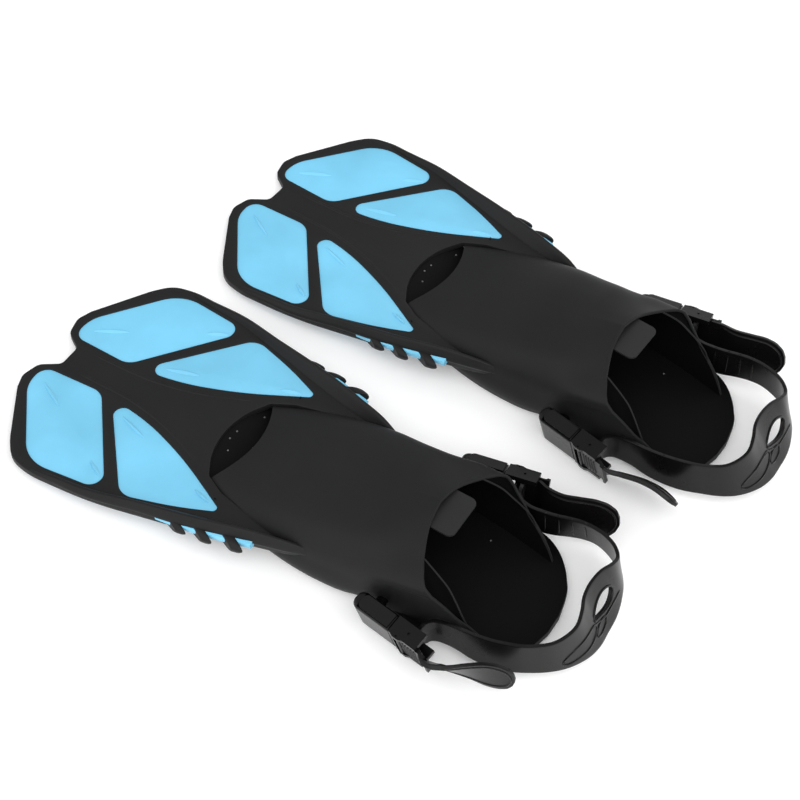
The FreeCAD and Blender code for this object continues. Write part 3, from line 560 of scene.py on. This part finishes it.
# The toe opening's end on each side, as (x, |y|), and the station of its rear edge in the middle.
MOUTH_END = (169.0, 38.0)
MOUTH_REAR = 181.0
# Small pips on the bed, seven under the toes and one under the heel, and their outline (radius, rise).
VENTS = [(159.5, 7.0), (159.0, -1.0), (163.0, -9.5), (175.0, -13.0), (174.5, 4.5), (167.0, 30.0),
         (168.0, -30.0), (350.0, 33.2)]
VENT_SECTION = [(0.85, -0.6), (0.8, 0.25), (0.55, 0.65), (0.1, 0.8)]
# The sole's outline, as (x, half width), and the most it may reach on the -Y side.
SOLE_PLAN = [(152.0, 32.0), (160.0, 38.5), (170.0, 42.5), (183.0, 46.0), (223.0, 50.0), (263.0, 52.0),
             (298.0, 50.5), (325.0, 51.0), (345.0, 56.0), (362.0, 59.8), (376.0, 60.0), (388.0, 56.0),
             (400.0, 46.5), (408.0, 36.0), (414.0, 24.0), (417.5, 8.0)]
SOLE_TRIM = [(152.0, 70.0), (330.0, 70.0), (343.0, 57.0), (351.0, 54.5), (358.0, 50.5), (376.0, 49.5),
             (388.0, 50.0), (400.0, 46.5), (408.0, 70.0)]


def floor_z(x):
    """Height of the floor under a station x; it falls away from the blade towards the heel."""
    return FRAME_BOTTOM - TILT * x


# Between these stations the section changes to one that is widest higher up.
FLARE_START = 294.0
FLARE_END = 330.0


def arch(x, t):
    """Points (y, z) of the pocket's outside at a station x; t runs from -1 over the top to 1."""
    half, top, rise, low_share, foot_share = section_at(POCKET, x)
    low = floor_z(x) + rise
    height = top - low
    lower = min(8.0, 0.35 * height)
    flare = float(np.clip((x - FLARE_START) / (FLARE_END - FLARE_START), 0.0, 1.0))
    flare = flare * flare * (3 - 2 * flare)
    y = np.array([0.0, 0.22, 0.42, 0.76, 0.93, 1.0, low_share, foot_share])
    z = np.r_[height * np.array([1.0, 0.995, 0.975, 0.88, 0.71, 0.47]), lower, 0.0]
    wide_y = np.array([0.0, 0.2, 0.38, 0.69, 0.94, 1.01, 0.96, 0.88])
    wide_z = height * np.array([1.004, 0.975, 0.93, 0.826, 0.735, 0.63, 0.4, 0.0])
    y = y * (1 - flare) + wide_y * flare
    z = z * (1 - flare) + wide_z * flare
    spots = np.array([0.0, 0.1, 0.2, 0.39, 0.55, 0.74, 0.93, 1.0])
    out = smooth(spots, np.c_[y * half, z], np.abs(t))
    return np.c_[np.sign(t) * out[:, 0], low + out[:, 1]]


def rim_x(z):
    """The station at which the foot opening's edge is at a height."""
    heights = [p[1] for p in RIM][::-1]
    return float(np.interp(z, heights, [p[0] for p in RIM][::-1]))


def roof_end(t):
    """The station at which the shell ends at t: where the arch meets the opening's edge."""
    x = 350.0
    for _ in range(30):
        x = 0.5 * x + 0.5 * rim_x(arch(x, np.array([t]))[0][1])
    return x


def mouth_edge(t):
    """The station of the toe opening's rear edge at t."""
    x = MOUTH_REAR
    for _ in range(25):
        y = arch(x, np.array([t]))[0][0]
        x = MOUTH_REAR + (MOUTH_END[0] - MOUTH_REAR) * min(1.0, abs(y / MOUTH_END[1])) ** 2
    return x


def pocket_upper(fin):
    """The shell over the foot, from the toe opening's rear edge to the foot opening."""
    rows = 116
    count = 141
    t_values = np.linspace(-1, 1, count)
    t_values = 0.75 * t_values + 0.25 * np.sin(t_values * math.pi / 2)

    grid = np.zeros((rows, count, 3))
    for j, t in enumerate(t_values):
        start = mouth_edge(t)
        end = roof_end(t)
        for i in range(rows):
            x = start + (end - start) * i / (rows - 1)
            y, z = arch(x, np.array([t]))[0]
            grid[i, j] = (x, y, z)
    upper = Shape()
    upper.grid(grid)
    sheet = upper.mesh("upper", fin, outward=False)
    work = bmesh.new()
    work.from_mesh(sheet)
    bmesh.ops.remove_doubles(work, verts=work.verts, dist=1e-5)
    bmesh.ops.recalc_face_normals(work, faces=work.faces)
    roof = max(work.faces, key=lambda face: face.calc_center_median().z)
    if roof.normal.z < 0:
        bmesh.ops.reverse_faces(work, faces=work.faces)
    work.to_mesh(sheet)
    work.free()
    made = len(sheet.polygons)
    shell = finished(sheet, thicken(WALL, -1.0))
    # The inside face of the shell is marked to be darkened as painted shade.
    mark = shell.attributes.new("painted_shade_and_highlight", "FLOAT", "FACE")
    mark.data.foreach_set("value", [1.0 if made <= k < 2 * made else 0.0 for k in range(len(shell.polygons))])
    return finished(shell, soften(0.8, 3, 55))


def bed_top(x):
    """Height of the footbed; ahead of the toes it sweeps up to the edge of the opening."""
    rise = np.clip((204.0 - x) / 48.0, 0.0, 1.0)
    return floor_z(x) + SOLE + 10.0 * rise ** 2.2


def sole_slab(fin):
    sole = Shape()
    heel = SOLE_PLAN[-1][0]
    cap = 17.5
    around = np.cos(np.linspace(0, math.pi / 2, 24))[1:]
    x_values = np.r_[np.linspace(SOLE_PLAN[0][0], heel - cap, 90), heel - cap * around]
    rings = []
    for x in x_values:
        half = float(smooth([p[0] for p in SOLE_PLAN], [p[1] for p in SOLE_PLAN], [x])[0])
        rise = smooth([s[0] for s in POCKET], [s[3] for s in POCKET], [x])[0] if x < 223.0 else 0.0
        low = floor_z(x) + max(0.0, float(rise))
        top = bed_top(x)
        trim = min(half, float(np.interp(x, [p[0] for p in SOLE_TRIM], [p[1] for p in SOLE_TRIM])))
        side = [(SOLE_EDGE, low), (0.3, low + 0.5), (0.0, low + SOLE_EDGE), (0.0, top - SOLE_EDGE),
                (0.5, top - 0.4), (SOLE_EDGE, top)]
        ring = [(x, half - inset, z) for inset, z in side]
        for y in np.linspace(half - 6.0, 6.0 - trim, 9):
            ring.append((x, y, top))
        ring += [(x, inset - trim, z) for inset, z in reversed(side)]
        rings.append(ring)
    sole.loft(rings)
    return sole.mesh("sole", fin)


# The free edge of the inner lip beside the ankle; it leaves the rim above it and meets it again below.
LIP_EDGE = [(344.0, 39.6, 26.0), (352.0, 41.6, 22.4), (360.0, 42.8, 16.2), (367.0, 45.0, 8.4),
            (373.5, 47.0, -1.0)]
LIP_TOP = 28.6
LIP_BOTTOM = -9.6
# How far parts of the shoe are darkened as painted shade: 1 fully, more is darker, below 0 is paler than the
# rubber, a painted highlight.
LIP_PAINTED_SHADE = 1.25
BED_PAINTED_SHADE = 0.9
VENT_PAINTED_HIGHLIGHT = -9.0


def share_at(z):
    """The share of the arch at which the rim stands at a height."""
    shares = np.linspace(0.02, 0.99, 200)
    heights = []
    for t in shares:
        heights.append(arch(roof_end(t), np.array([t]))[0][1])
    return float(np.interp(-z, -np.array(heights), shares))


def rim_lips(fin):
    """Thin lips running inwards from the rim beside the ankle, and beads on their edges and on the rim."""
    lips = Shape()
    count = 40
    outer = []
    for t in np.linspace(share_at(LIP_TOP), share_at(LIP_BOTTOM), count):
        x = roof_end(t)
        y, z = arch(x, np.array([t]))[0]
        outer.append((x - 0.6, y - 1.0, z - 0.3))
    outer = np.array(outer)
    inner = along_points(np.vstack([outer[:1], LIP_EDGE, outer[-1:]]), count)
    across = np.linspace(0.0, 1.0, 9)
    grid = outer[:, None] + (inner - outer)[:, None] * across[None, :, None]
    grid[:, :, 2] -= 3.5 * np.sin(np.linspace(0, math.pi, count))[:, None] * np.sin(across * math.pi)[None, :]
    lips.grid(grid)
    lips.join(lips.mirrored())
    sheet = finished(lips.mesh("lips", fin), thicken(0.7, 0.0))
    # The lips are darkened as painted shade, more than the rest of the inside.
    shade = sheet.attributes.new("painted_shade_and_highlight", "FLOAT", "FACE")
    shade.data.foreach_set("value", [LIP_PAINTED_SHADE] * len(sheet.polygons))
    edges = Shape()
    tube(edges, inner, 0.65)
    edges.join(edges.mirrored())
    line = []
    for t in np.linspace(-0.985, 0.985, 150):
        x = roof_end(t)
        before, here, after = arch(x, np.array([t - 0.01, t, t + 0.01]))
        across = after - before
        across = across / np.linalg.norm(across)
        line.append((x, here[0] + across[1], here[1] - across[0]))
    tube(edges, np.array(line), 1.25)
    return sheet, edges.mesh("rim_edges", fin)


def painted_shade_and_highlight_values(mesh, fin, default):
    """Each face's share of painted shade and highlight: what the mesh already says, else default where it
    looks up and 0 elsewhere.
    """
    if "painted_shade_and_highlight" in mesh.attributes:
        return [item.value for item in mesh.attributes["painted_shade_and_highlight"].data]
    to_fin = np.linalg.inv(PLACE[fin])[:3, :3] * MM
    values = []
    for face in mesh.polygons:
        facing_up = (to_fin @ np.array(face.normal))[2] > 0.3
        values.append(default if facing_up else 0.0)
    return values


def foot_pocket(fin):
    extras = Shape()
    around = np.linspace(0, 2 * math.pi, 10, False)
    for x, y in VENTS:
        z = bed_top(x)
        extras.loft([[(x + r * math.cos(a), y + r * math.sin(a), z + h) for a in around]
                     for r, h in VENT_SECTION])
    lips, edges = rim_lips(fin)
    # The footbed is darkened as painted shade where it faces up; the pips are made paler as a painted
    # highlight.
    parts = ((pocket_upper(fin), 0.0), (sole_slab(fin), BED_PAINTED_SHADE), (lips, 0.0), (edges, 0.0),
             (extras.mesh("vents", fin), VENT_PAINTED_HIGHLIGHT))
    values = []
    for mesh, default in parts:
        values += painted_shade_and_highlight_values(mesh, fin, default)
    whole = merged([mesh for mesh, default in parts], fin + "_foot_pocket_rubber")
    if "painted_shade_and_highlight" in whole.attributes:
        whole.attributes.remove(whole.attributes["painted_shade_and_highlight"])
    mark = whole.attributes.new("painted_shade_and_highlight", "FLOAT", "FACE")
    mark.data.foreach_set("value", values)
    return whole


def merged(meshes, name):
    """One mesh of several, which are deleted."""
    work = bmesh.new()
    for mesh in meshes:
        work.from_mesh(mesh)
        bpy.data.meshes.remove(mesh)
    out = bpy.data.meshes.new(name)
    work.to_mesh(out)
    work.free()
    return out


# ---------------------------------------------------------------- the heel strap
# Where a roller's axis stands, as (x, |y|), and how a buckle turns and leans.
ROLLER = (351.0, 77.0)
TOE_OUT = math.radians(10.0)
LEAN = math.radians(16.0)
# The strap's middle height and half height at a roller, its distance from the axis, and its thickness.
STRAP_MID = -15.5
STRAP_HALF = 11.3
STRAP_REACH = 3.45
STRAP_THICK = 2.5


def buckle_point(side, x, y, z):
    """A point of a buckle's frame in the fin's frame; y counts outwards from the fin."""
    lean_y = y * math.cos(LEAN) + z * math.sin(LEAN)
    lean_z = -y * math.sin(LEAN) + z * math.cos(LEAN)
    across = lean_y * side
    turn = TOE_OUT * side
    return (ROLLER[0] + x * math.cos(turn) - across * math.sin(turn),
            side * ROLLER[1] + x * math.sin(turn) + across * math.cos(turn), lean_z)


# The strap from behind the near buckle round the heel to the far one: lower edge, upper edge.
BAND = [
    ((354.4, -61.6, -26.6), (353.0, -66.6, -4.6)),
    ((356.4, -58.2, -26.4), (354.2, -61.8, -4.2)),
    ((360.2, -56.0, -26.3), (357.6, -57.7, -4.0)),
    ((366.0, -55.0, -26.2), (364.6, -55.2, -4.0)),
    ((375.0, -54.8, -26.4), (373.0, -54.0, -4.0)),
    ((384.6, -55.0, -28.0), (383.0, -53.2, -4.0)),
    ((398.0, -53.6, -29.4), (397.0, -51.6, -3.2)),
    ((410.6, -50.3, -29.6), (408.0, -48.9, -2.4)),
    ((423.2, -43.6, -29.8), (420.0, -44.9, -1.2)),
    ((431.4, -37.9, -30.2), (427.5, -39.9, -0.8)),
    ((438.6, -30.6, -31.4), (433.5, -35.4, 0.6)),
    ((444.6, -21.2, -33.0), (438.6, -27.8, 2.4)),
    ((449.5, -9.9, -33.8), (441.2, -17.6, 4.0)),
    ((451.3, 1.2, -34.0), (438.6, -6.0, 4.8)),
    ((450.7, 12.6, -34.0), (434.8, 4.0, 5.0)),
    ((449.9, 25.0, -33.8), (433.2, 15.0, 5.0)),
    ((446.8, 38.6, -32.4), (434.4, 29.0, 4.2)),
    ((442.3, 49.6, -30.2), (437.9, 39.6, 2.6)),
    ((436.0, 58.0, -28.0), (437.4, 47.6, 0.2)),
    ((429.6, 62.2, -27.0), (431.6, 55.0, -1.4)),
    ((421.6, 65.8, -26.0), (423.6, 60.0, -2.4)),
    ((412.4, 68.0, -25.6), (412.8, 62.8, -2.9)),
    ((402.7, 66.8, -25.4), (401.3, 62.8, -3.2)),
    ((394.3, 64.0, -25.5), (392.6, 61.0, -3.4)),
    ((385.1, 60.4, -26.0), (384.6, 59.2, -3.8)),
    ((376.6, 58.0, -26.0), (375.6, 57.8, -4.0)),
    ((367.0, 57.2, -26.0), (365.6, 57.2, -4.0)),
    ((360.6, 57.8, -26.2), (358.4, 59.4, -4.2)),
    ((356.6, 59.8, -26.4), (354.6, 63.0, -4.4)),
    ((354.6, 62.6, -26.6), (353.2, 67.2, -4.6)),
]
# The finger paddles, from the buckle to the tip: (x, half height).
PADDLE_HALF = [(368.0, 11.3), (380.0, 12.2), (393.0, 14.2), (405.0, 14.9), (414.0, 12.6), (419.5, 8.0),
               (421.6, 3.6), (422.2, 0.8)]
# Where the middle line of each paddle runs, by fin and side of the fin: (x, |y|).
PADDLE_Y = {
    ("left", -1): [(363.0, 81.0), (372.0, 81.0), (385.0, 76.0), (400.0, 70.0), (423.0, 62.5)],
    ("left", 1): [(363.0, 77.0), (370.0, 74.2), (381.0, 73.6), (397.0, 76.5), (410.0, 80.0), (423.0, 83.0)],
    ("right", -1): [(363.0, 79.0), (372.0, 77.5), (388.0, 73.0), (405.0, 72.5), (423.0, 77.5)],
    ("right", 1): [(363.0, 79.6), (370.0, 78.6), (381.0, 78.0), (396.0, 79.0), (408.0, 81.0), (423.0, 82.0)],
}
# How far each paddle leans out at the top, in degrees, from the buckle to the tip.
PADDLE_LEAN = {
    ("left", -1): [(363.0, 30.0), (370.0, 39.0), (382.0, 33.0), (400.0, 10.0), (423.0, -2.0)],
    ("left", 1): [(363.0, 16.0), (423.0, 18.0)],
    ("right", -1): [(363.0, 30.0), (372.0, 41.0), (388.0, 41.0), (423.0, 38.0)],
    ("right", 1): [(363.0, 16.0), (423.0, 16.0)],
}
# How the right fin's strap lies off the left one's: (share of the way round, lower x, y, upper x, y).
RIGHT_SHIFT = [(0.0, 0.0, 0.0, 0.0, 0.0), (0.2, 1.0, -1.0, 1.0, -1.0), (0.36, 6.0, -5.0, 4.0, -4.0),
               (0.5, 8.0, -4.0, 3.0, -3.0), (0.62, 5.0, -4.0, 2.0, -2.0), (0.78, 0.0, -4.0, 0.0, 0.0),
               (1.0, 0.0, 0.0, 0.0, 0.0)]


def strap_stations(fin):
    """Lower and upper edge points of the whole strap, paddle tip to paddle tip."""
    ends = {}
    for side in (-1, 1):
        path = PADDLE_Y[(fin, side)]
        tilt = PADDLE_LEAN[(fin, side)]
        stations = []
        for x, half in reversed(PADDLE_HALF):
            y = float(smooth([p[0] for p in path], [p[1] for p in path], [x])[0])
            lean = math.radians(float(np.interp(x, [p[0] for p in tilt], [p[1] for p in tilt])))
            stations.append(((x, side * (y - half * math.sin(lean)), STRAP_MID - half * math.cos(lean)),
                             (x, side * (y + half * math.sin(lean)), STRAP_MID + half * math.cos(lean))))
        turn = [(9.0, STRAP_REACH), (4.0, STRAP_REACH), (0.0, STRAP_REACH)]
        turn += [(-STRAP_REACH * math.sin(a), STRAP_REACH * math.cos(a)) for a in np.linspace(0.4, 2.74, 7)]
        turn += [(-0.3, -3.7), (0.4, -5.0)]
        for x, y in turn:
            stations.append((buckle_point(side, x, y, STRAP_MID - STRAP_HALF),
                             buckle_point(side, x, y, STRAP_MID + STRAP_HALF)))
        ends[side] = stations
    band = np.array(BAND, float)
    if fin == "right":
        share = np.linspace(0, 1, len(band))
        shift = smooth([s[0] for s in RIGHT_SHIFT], [s[1:] for s in RIGHT_SHIFT], share)
        band[:, 0, :2] += shift[:, :2]
        band[:, 1, :2] += shift[:, 2:]
    return np.concatenate([np.array(ends[-1], float), band, np.array(ends[1][::-1], float)])


# Spacing of the strap's mesh along it, in mm.
STRAP_STEP = 1.3


class Ribbon:
    """The middle surface of a strap: s runs along it in mm, v up it from 0 to 1."""

    def __init__(self, stations):
        middle = stations.mean(axis=1)
        chord = np.concatenate([[0], np.cumsum(np.linalg.norm(np.diff(middle, axis=0), axis=1))])
        self.length = chord[-1]
        self.s = np.linspace(0.0, self.length, int(self.length / STRAP_STEP))
        edges = smooth(chord, stations.reshape(len(stations), 6), self.s)
        low = edges[:, :3]
        high = edges[:, 3:]
        self.v = np.linspace(0, 1, 21)
        self.grid = low[:, None] + (high - low)[:, None] * self.v[None, :, None]
        along = np.gradient(self.grid, axis=0)
        up = np.gradient(self.grid, axis=1)
        normal = np.cross(along, up)
        self.normal = normal / np.linalg.norm(normal, axis=2, keepdims=True)
        self.height = np.linalg.norm(high - low, axis=1)

    def at(self, s, v, off=0.0):
        """The point at (s, v), moved out of the surface by off."""
        i = min(max(np.searchsorted(self.s, s) - 1, 0), len(self.s) - 2)
        j = min(int(v * (len(self.v) - 1)), len(self.v) - 2)
        a = (s - self.s[i]) / (self.s[i + 1] - self.s[i])
        b = v * (len(self.v) - 1) - j

        def mix(array):
            return ((1 - a) * (1 - b) * array[i, j] + a * (1 - b) * array[i + 1, j]
                    + (1 - a) * b * array[i, j + 1] + a * b * array[i + 1, j + 1])
        return mix(self.grid) + off * mix(self.normal)

    def s_near(self, x, y, after):
        """The s whose middle is nearest to a plan point, past a given s."""
        middle = self.grid[:, len(self.v) // 2, :2]
        gap = np.linalg.norm(middle - np.array([x, y]), axis=1)
        gap[self.s < after] = 1e9
        return float(self.s[int(np.argmin(gap))])


def strap_sheets(ribbon, window):
    """The strap's middle surface, as a lower and an upper sheet that part at a window, and the window's rim.

    The window is given as (start s, end s, middle height at each end, half width).
    """
    start, end, first, last, half = window
    spots = np.linspace(0.0, ribbon.length, int(ribbon.length / STRAP_STEP))
    spots = spots[(spots < start - 0.5) | (spots > end + 0.5)]
    inside = start + (end - start) * (1 - np.cos(np.linspace(0, math.pi, 30))) / 2
    spots = np.sort(np.concatenate([spots, inside]))
    share = np.clip((spots - start) / (end - start), 0, 1)
    middle = first + (last - first) * share
    open_by = half * np.sin(math.pi * share ** 1.45) ** 0.62
    heights = np.interp(spots, ribbon.s, ribbon.height)
    sheet = Shape()
    for side in (-1, 1):
        edge = (middle + side * open_by) / heights + 0.5
        outer = 0.5 + 0.5 * side
        grid = np.zeros((len(spots), 10, 3))
        for i, s in enumerate(spots):
            for j, part in enumerate(np.linspace(0, 1, 10)):
                grid[i, j] = ribbon.at(s, edge[i] + (outer - edge[i]) * part)
        sheet.grid(grid if side > 0 else grid[:, ::-1])
    rim = [(s, m + side * (b + 1.5)) for side in (1, -1)
           for s, m, b in list(zip(spots, middle, open_by))[::side] if start - 0.1 <= s <= end + 0.1]
    return sheet, rim


def on_strap(ribbon, path, off):
    """Points (s, height above the middle) laid on the strap."""
    points = []
    for s, w in path:
        height = np.interp(s, ribbon.s, ribbon.height)
        points.append(ribbon.at(s, min(max(w / height + 0.5, 0.02), 0.98), off))
    return points


def strap_ribs(extras, ribbon):
    """Low ribs on the inside of the band beside each buckle, with a nub on both edges."""
    out = STRAP_THICK / 2
    start = ribbon.s_near(374.0, -54.0, ribbon.length * 0.2)
    finish = ribbon.s_near(374.0, 58.0, ribbon.length * 0.5)
    for k in range(4):
        for s in (start + 4.0 + 9.6 * k, finish - 4.0 - 9.6 * k):
            tube(extras, on_strap(ribbon, [(s, w) for w in np.linspace(-8.4, 8.4, 12)], -out), 0.65)
            for v in (0.03, 0.97):
                ends = [ribbon.at(s + d, v, 0.0) for d in (-1.1, -0.4, 0.4, 1.1)]
                tube(extras, ends, out + 0.45)


# The heel pad's beads, as (s past the pad's middle, height above the middle line).
LONG_LEAF = [(-33.0, -9.5), (-27.0, -3.4), (-14.0, 1.4), (-1.0, 0.2), (1.0, -5.2), (-8.0, -9.6),
             (-20.0, -12.4), (-29.0, -13.0)]
SMALL_LEAF = [(-2.0, -11.2), (2.0, -7.2), (9.0, -6.8), (14.0, -9.4), (11.0, -13.2), (3.0, -14.2)]
PAD_LINE = [(-24.0, -1.0), (-12.0, 1.8), (0.0, -1.2), (12.0, -8.6), (26.0, -10.4), (38.0, -11.6)]


def pad_beads(extras, ribbon, s1, rim):
    """The beads on the heel pad: round its window, round two leaf shapes and along one line."""
    lip = along_points(rim + rim[:1], 90)
    long_leaf = closed_curve([(s1 + s, w) for s, w in LONG_LEAF], 70)
    small_leaf = closed_curve([(s1 + s, w) for s, w in SMALL_LEAF], 44)
    line = along_points([(s1 + s, w) for s, w in PAD_LINE], 60)
    for path, width in ((lip, 0.9), (np.vstack([long_leaf, long_leaf[:1]]), 0.75),
                        (np.vstack([small_leaf, small_leaf[:1]]), 0.75), (line, 0.7)):
        tube(extras, on_strap(ribbon, path, STRAP_THICK / 2), width)


# The raised border of a paddle, as (s from its tip, height above the middle line), and how far
# the nubs on its top edge stand from the border's open end.
PADDLE_BORDER = [(54.0, 9.4), (40.0, 9.6), (26.0, 11.6), (14.0, 11.4), (5.0, 6.6), (2.6, 0.0), (5.0, -6.6),
                 (14.0, -11.4), (26.0, -11.6), (40.0, -9.6), (54.0, -9.4)]
PADDLE_NUBS = (16.0, 30.0, 44.0)


def paddle_borders(extras, ribbon):
    for tip, step in ((0.0, 1.0), (ribbon.length, -1.0)):
        border = along_points([(tip + step * s, w) for s, w in PADDLE_BORDER], 90)
        for face in (-1.0, 1.0):
            tube(extras, on_strap(ribbon, border, face * (STRAP_THICK / 2 - 0.15)), 0.8)
        for spot in PADDLE_NUBS:
            nub = [(tip + step * (54.0 - spot + d), 12.0 - 0.3 * abs(d)) for d in (-1.4, -0.5, 0.5, 1.4)]
            for face in (-1.0, 1.0):
                tube(extras, on_strap(ribbon, nub, face * 0.2), 0.9)


# The heel pad's window, as (start and end past the pad's middle, middle height at each, half width).
PAD_WINDOW = (3.0, 33.0, 1.2, 0.2, 6.0)


def heel_strap(fin):
    ribbon = Ribbon(strap_stations(fin))
    s1 = ribbon.s_near(445.5, 0.0, 0.0)
    start, end, first, last, half = PAD_WINDOW
    sheet, rim = strap_sheets(ribbon, (s1 + start, s1 + end, first, last, half))
    flat = sheet.mesh("strap", fin, outward=False)
    work = bmesh.new()
    work.from_mesh(flat)
    bmesh.ops.remove_doubles(work, verts=work.verts, dist=1e-5)
    work.to_mesh(flat)
    work.free()
    mesh = finished(flat, thicken(STRAP_THICK, even=False), soften(0.7, 3, 50))
    extras = Shape()
    strap_ribs(extras, ribbon)
    pad_beads(extras, ribbon, s1, rim)
    paddle_borders(extras, ribbon)
    return merged([mesh, extras.mesh("extras", fin)], fin + "_heel_strap_soft")


# ---------------------------------------------------------------- building both fins
for fin_name in FINS:
    body = fin_name + "_fin"
    make_piece(fin_name + "_foot_pocket_rubber", foot_pocket(fin_name), "pocket_rubber",
               body, [fin_name + "_foot_pocket"])
    make_piece(fin_name + "_blade_frame_rubber", blade_frame().mesh(fin_name + "_frame", fin_name),
               "frame_rubber", body, [fin_name + "_blade_frame"])
    make_piece(fin_name + "_blade_panels", blade_panels().mesh(fin_name + "_panels", fin_name), "blue_blade",
               body, [fin_name + "_blade_plate"])
    make_piece(fin_name + "_heel_strap_soft", heel_strap(fin_name), "strap_rubber", fin_name + "_strap_set",
               [fin_name + "_heel_strap"])


# ---------------------------------------------------------------- floor, light and camera
# The floor's half width and its height, at the underside of the soles, in m.
FLOOR_HALF = 30.0
FLOOR_LEVEL = -0.0014


def stage_floor():
    mesh = bpy.data.meshes.new("floor")
    corners = [(-1, -1), (1, -1), (1, 1), (-1, 1)]
    mesh.from_pydata([(x * FLOOR_HALF, y * FLOOR_HALF, FLOOR_LEVEL) for x, y in corners], [], [(0, 1, 2, 3)])
    floor = bpy.data.objects.new("floor", mesh)
    bpy.context.scene.collection.objects.link(floor)
    mat = bpy.data.materials.new("pale_floor")
    mat.use_nodes = True
    shader = mat.node_tree.nodes["Principled BSDF"]
    shader.inputs["Base Color"].default_value = (0.93, 0.93, 0.93, 1)
    shader.inputs["Roughness"].default_value = 0.9
    shader.inputs["Specular IOR Level"].default_value = 0.1
    shader.inputs["Emission Color"].default_value = (1, 1, 1, 1)
    shader.inputs["Emission Strength"].default_value = 0.12
    mesh.materials.append(mat)


def area_light(name, place, target, size, power):
    light = bpy.data.lights.new(name, "AREA")
    light.shape = "SQUARE"
    light.size = size
    light.energy = power
    lamp = bpy.data.objects.new(name, light)
    lamp.location = place
    lamp.rotation_mode = "QUATERNION"
    lamp.rotation_quaternion = (Vector(target) - Vector(place)).to_track_quat("-Z", "Y")
    bpy.context.scene.collection.objects.link(lamp)


# Where the camera stands and looks, in the left fin's frame, and its lens.
CAMERA_PLACE = (709.0, -674.0, 1038.0)
CAMERA_TARGET = (243.0, 89.2, 0.0)
CAMERA_LENS = 87.04


def set_up_camera():
    place = at("left", *CAMERA_PLACE)
    target = at("left", *CAMERA_TARGET)
    up = at("left", 0, 0, 1) - at("left", 0, 0, 0)
    back = (place - target).normalized()
    right = up.cross(back).normalized()
    top = back.cross(right)
    turn = Matrix((right, top, back)).transposed().to_4x4()
    data = bpy.data.cameras.new("camera")
    data.sensor_width = 36.0
    data.lens = CAMERA_LENS
    data.clip_start = 0.05
    data.clip_end = 30.0
    camera = bpy.data.objects.new("camera", data)
    camera.matrix_world = Matrix.Translation(place) @ turn
    bpy.context.scene.collection.objects.link(camera)
    bpy.context.scene.camera = camera


def set_up_world():
    """A white studio sky that is darker above and to one side."""
    world = bpy.data.worlds.new("studio")
    world.use_nodes = True
    nodes = world.node_tree.nodes
    links = world.node_tree.links
    nodes["Background"].inputs["Color"].default_value = (1, 1, 1, 1)
    ray = nodes.new("ShaderNodeTexCoord")
    dark_side = nodes.new("ShaderNodeVectorMath")
    dark_side.operation = "DOT_PRODUCT"
    dark_side.inputs[1].default_value = (-0.35, 0.58, 0.74)
    links.new(ray.outputs["Generated"], dark_side.inputs[0])
    fall = nodes.new("ShaderNodeMapRange")
    fall.interpolation_type = "SMOOTHSTEP"
    fall.inputs["From Min"].default_value = 0.2
    fall.inputs["From Max"].default_value = 0.95
    fall.inputs["To Min"].default_value = 1.25
    fall.inputs["To Max"].default_value = 0.3
    links.new(dark_side.outputs["Value"], fall.inputs["Value"])
    links.new(fall.outputs["Result"], nodes["Background"].inputs["Strength"])
    bpy.context.scene.world = world


stage_floor()
area_light("key", (0.9, -1.2, 1.9), (0.0, 0.0, 0.0), 2.6, 30.0)
area_light("fill", (-1.6, -0.5, 1.4), (0.0, 0.0, 0.0), 3.0, 12.0)
area_light("rim", (0.2, 1.8, 1.5), (0.0, 0.0, 0.0), 2.6, 16.0)
set_up_world()
bpy.context.scene.view_settings.view_transform = "Standard"
set_up_camera()
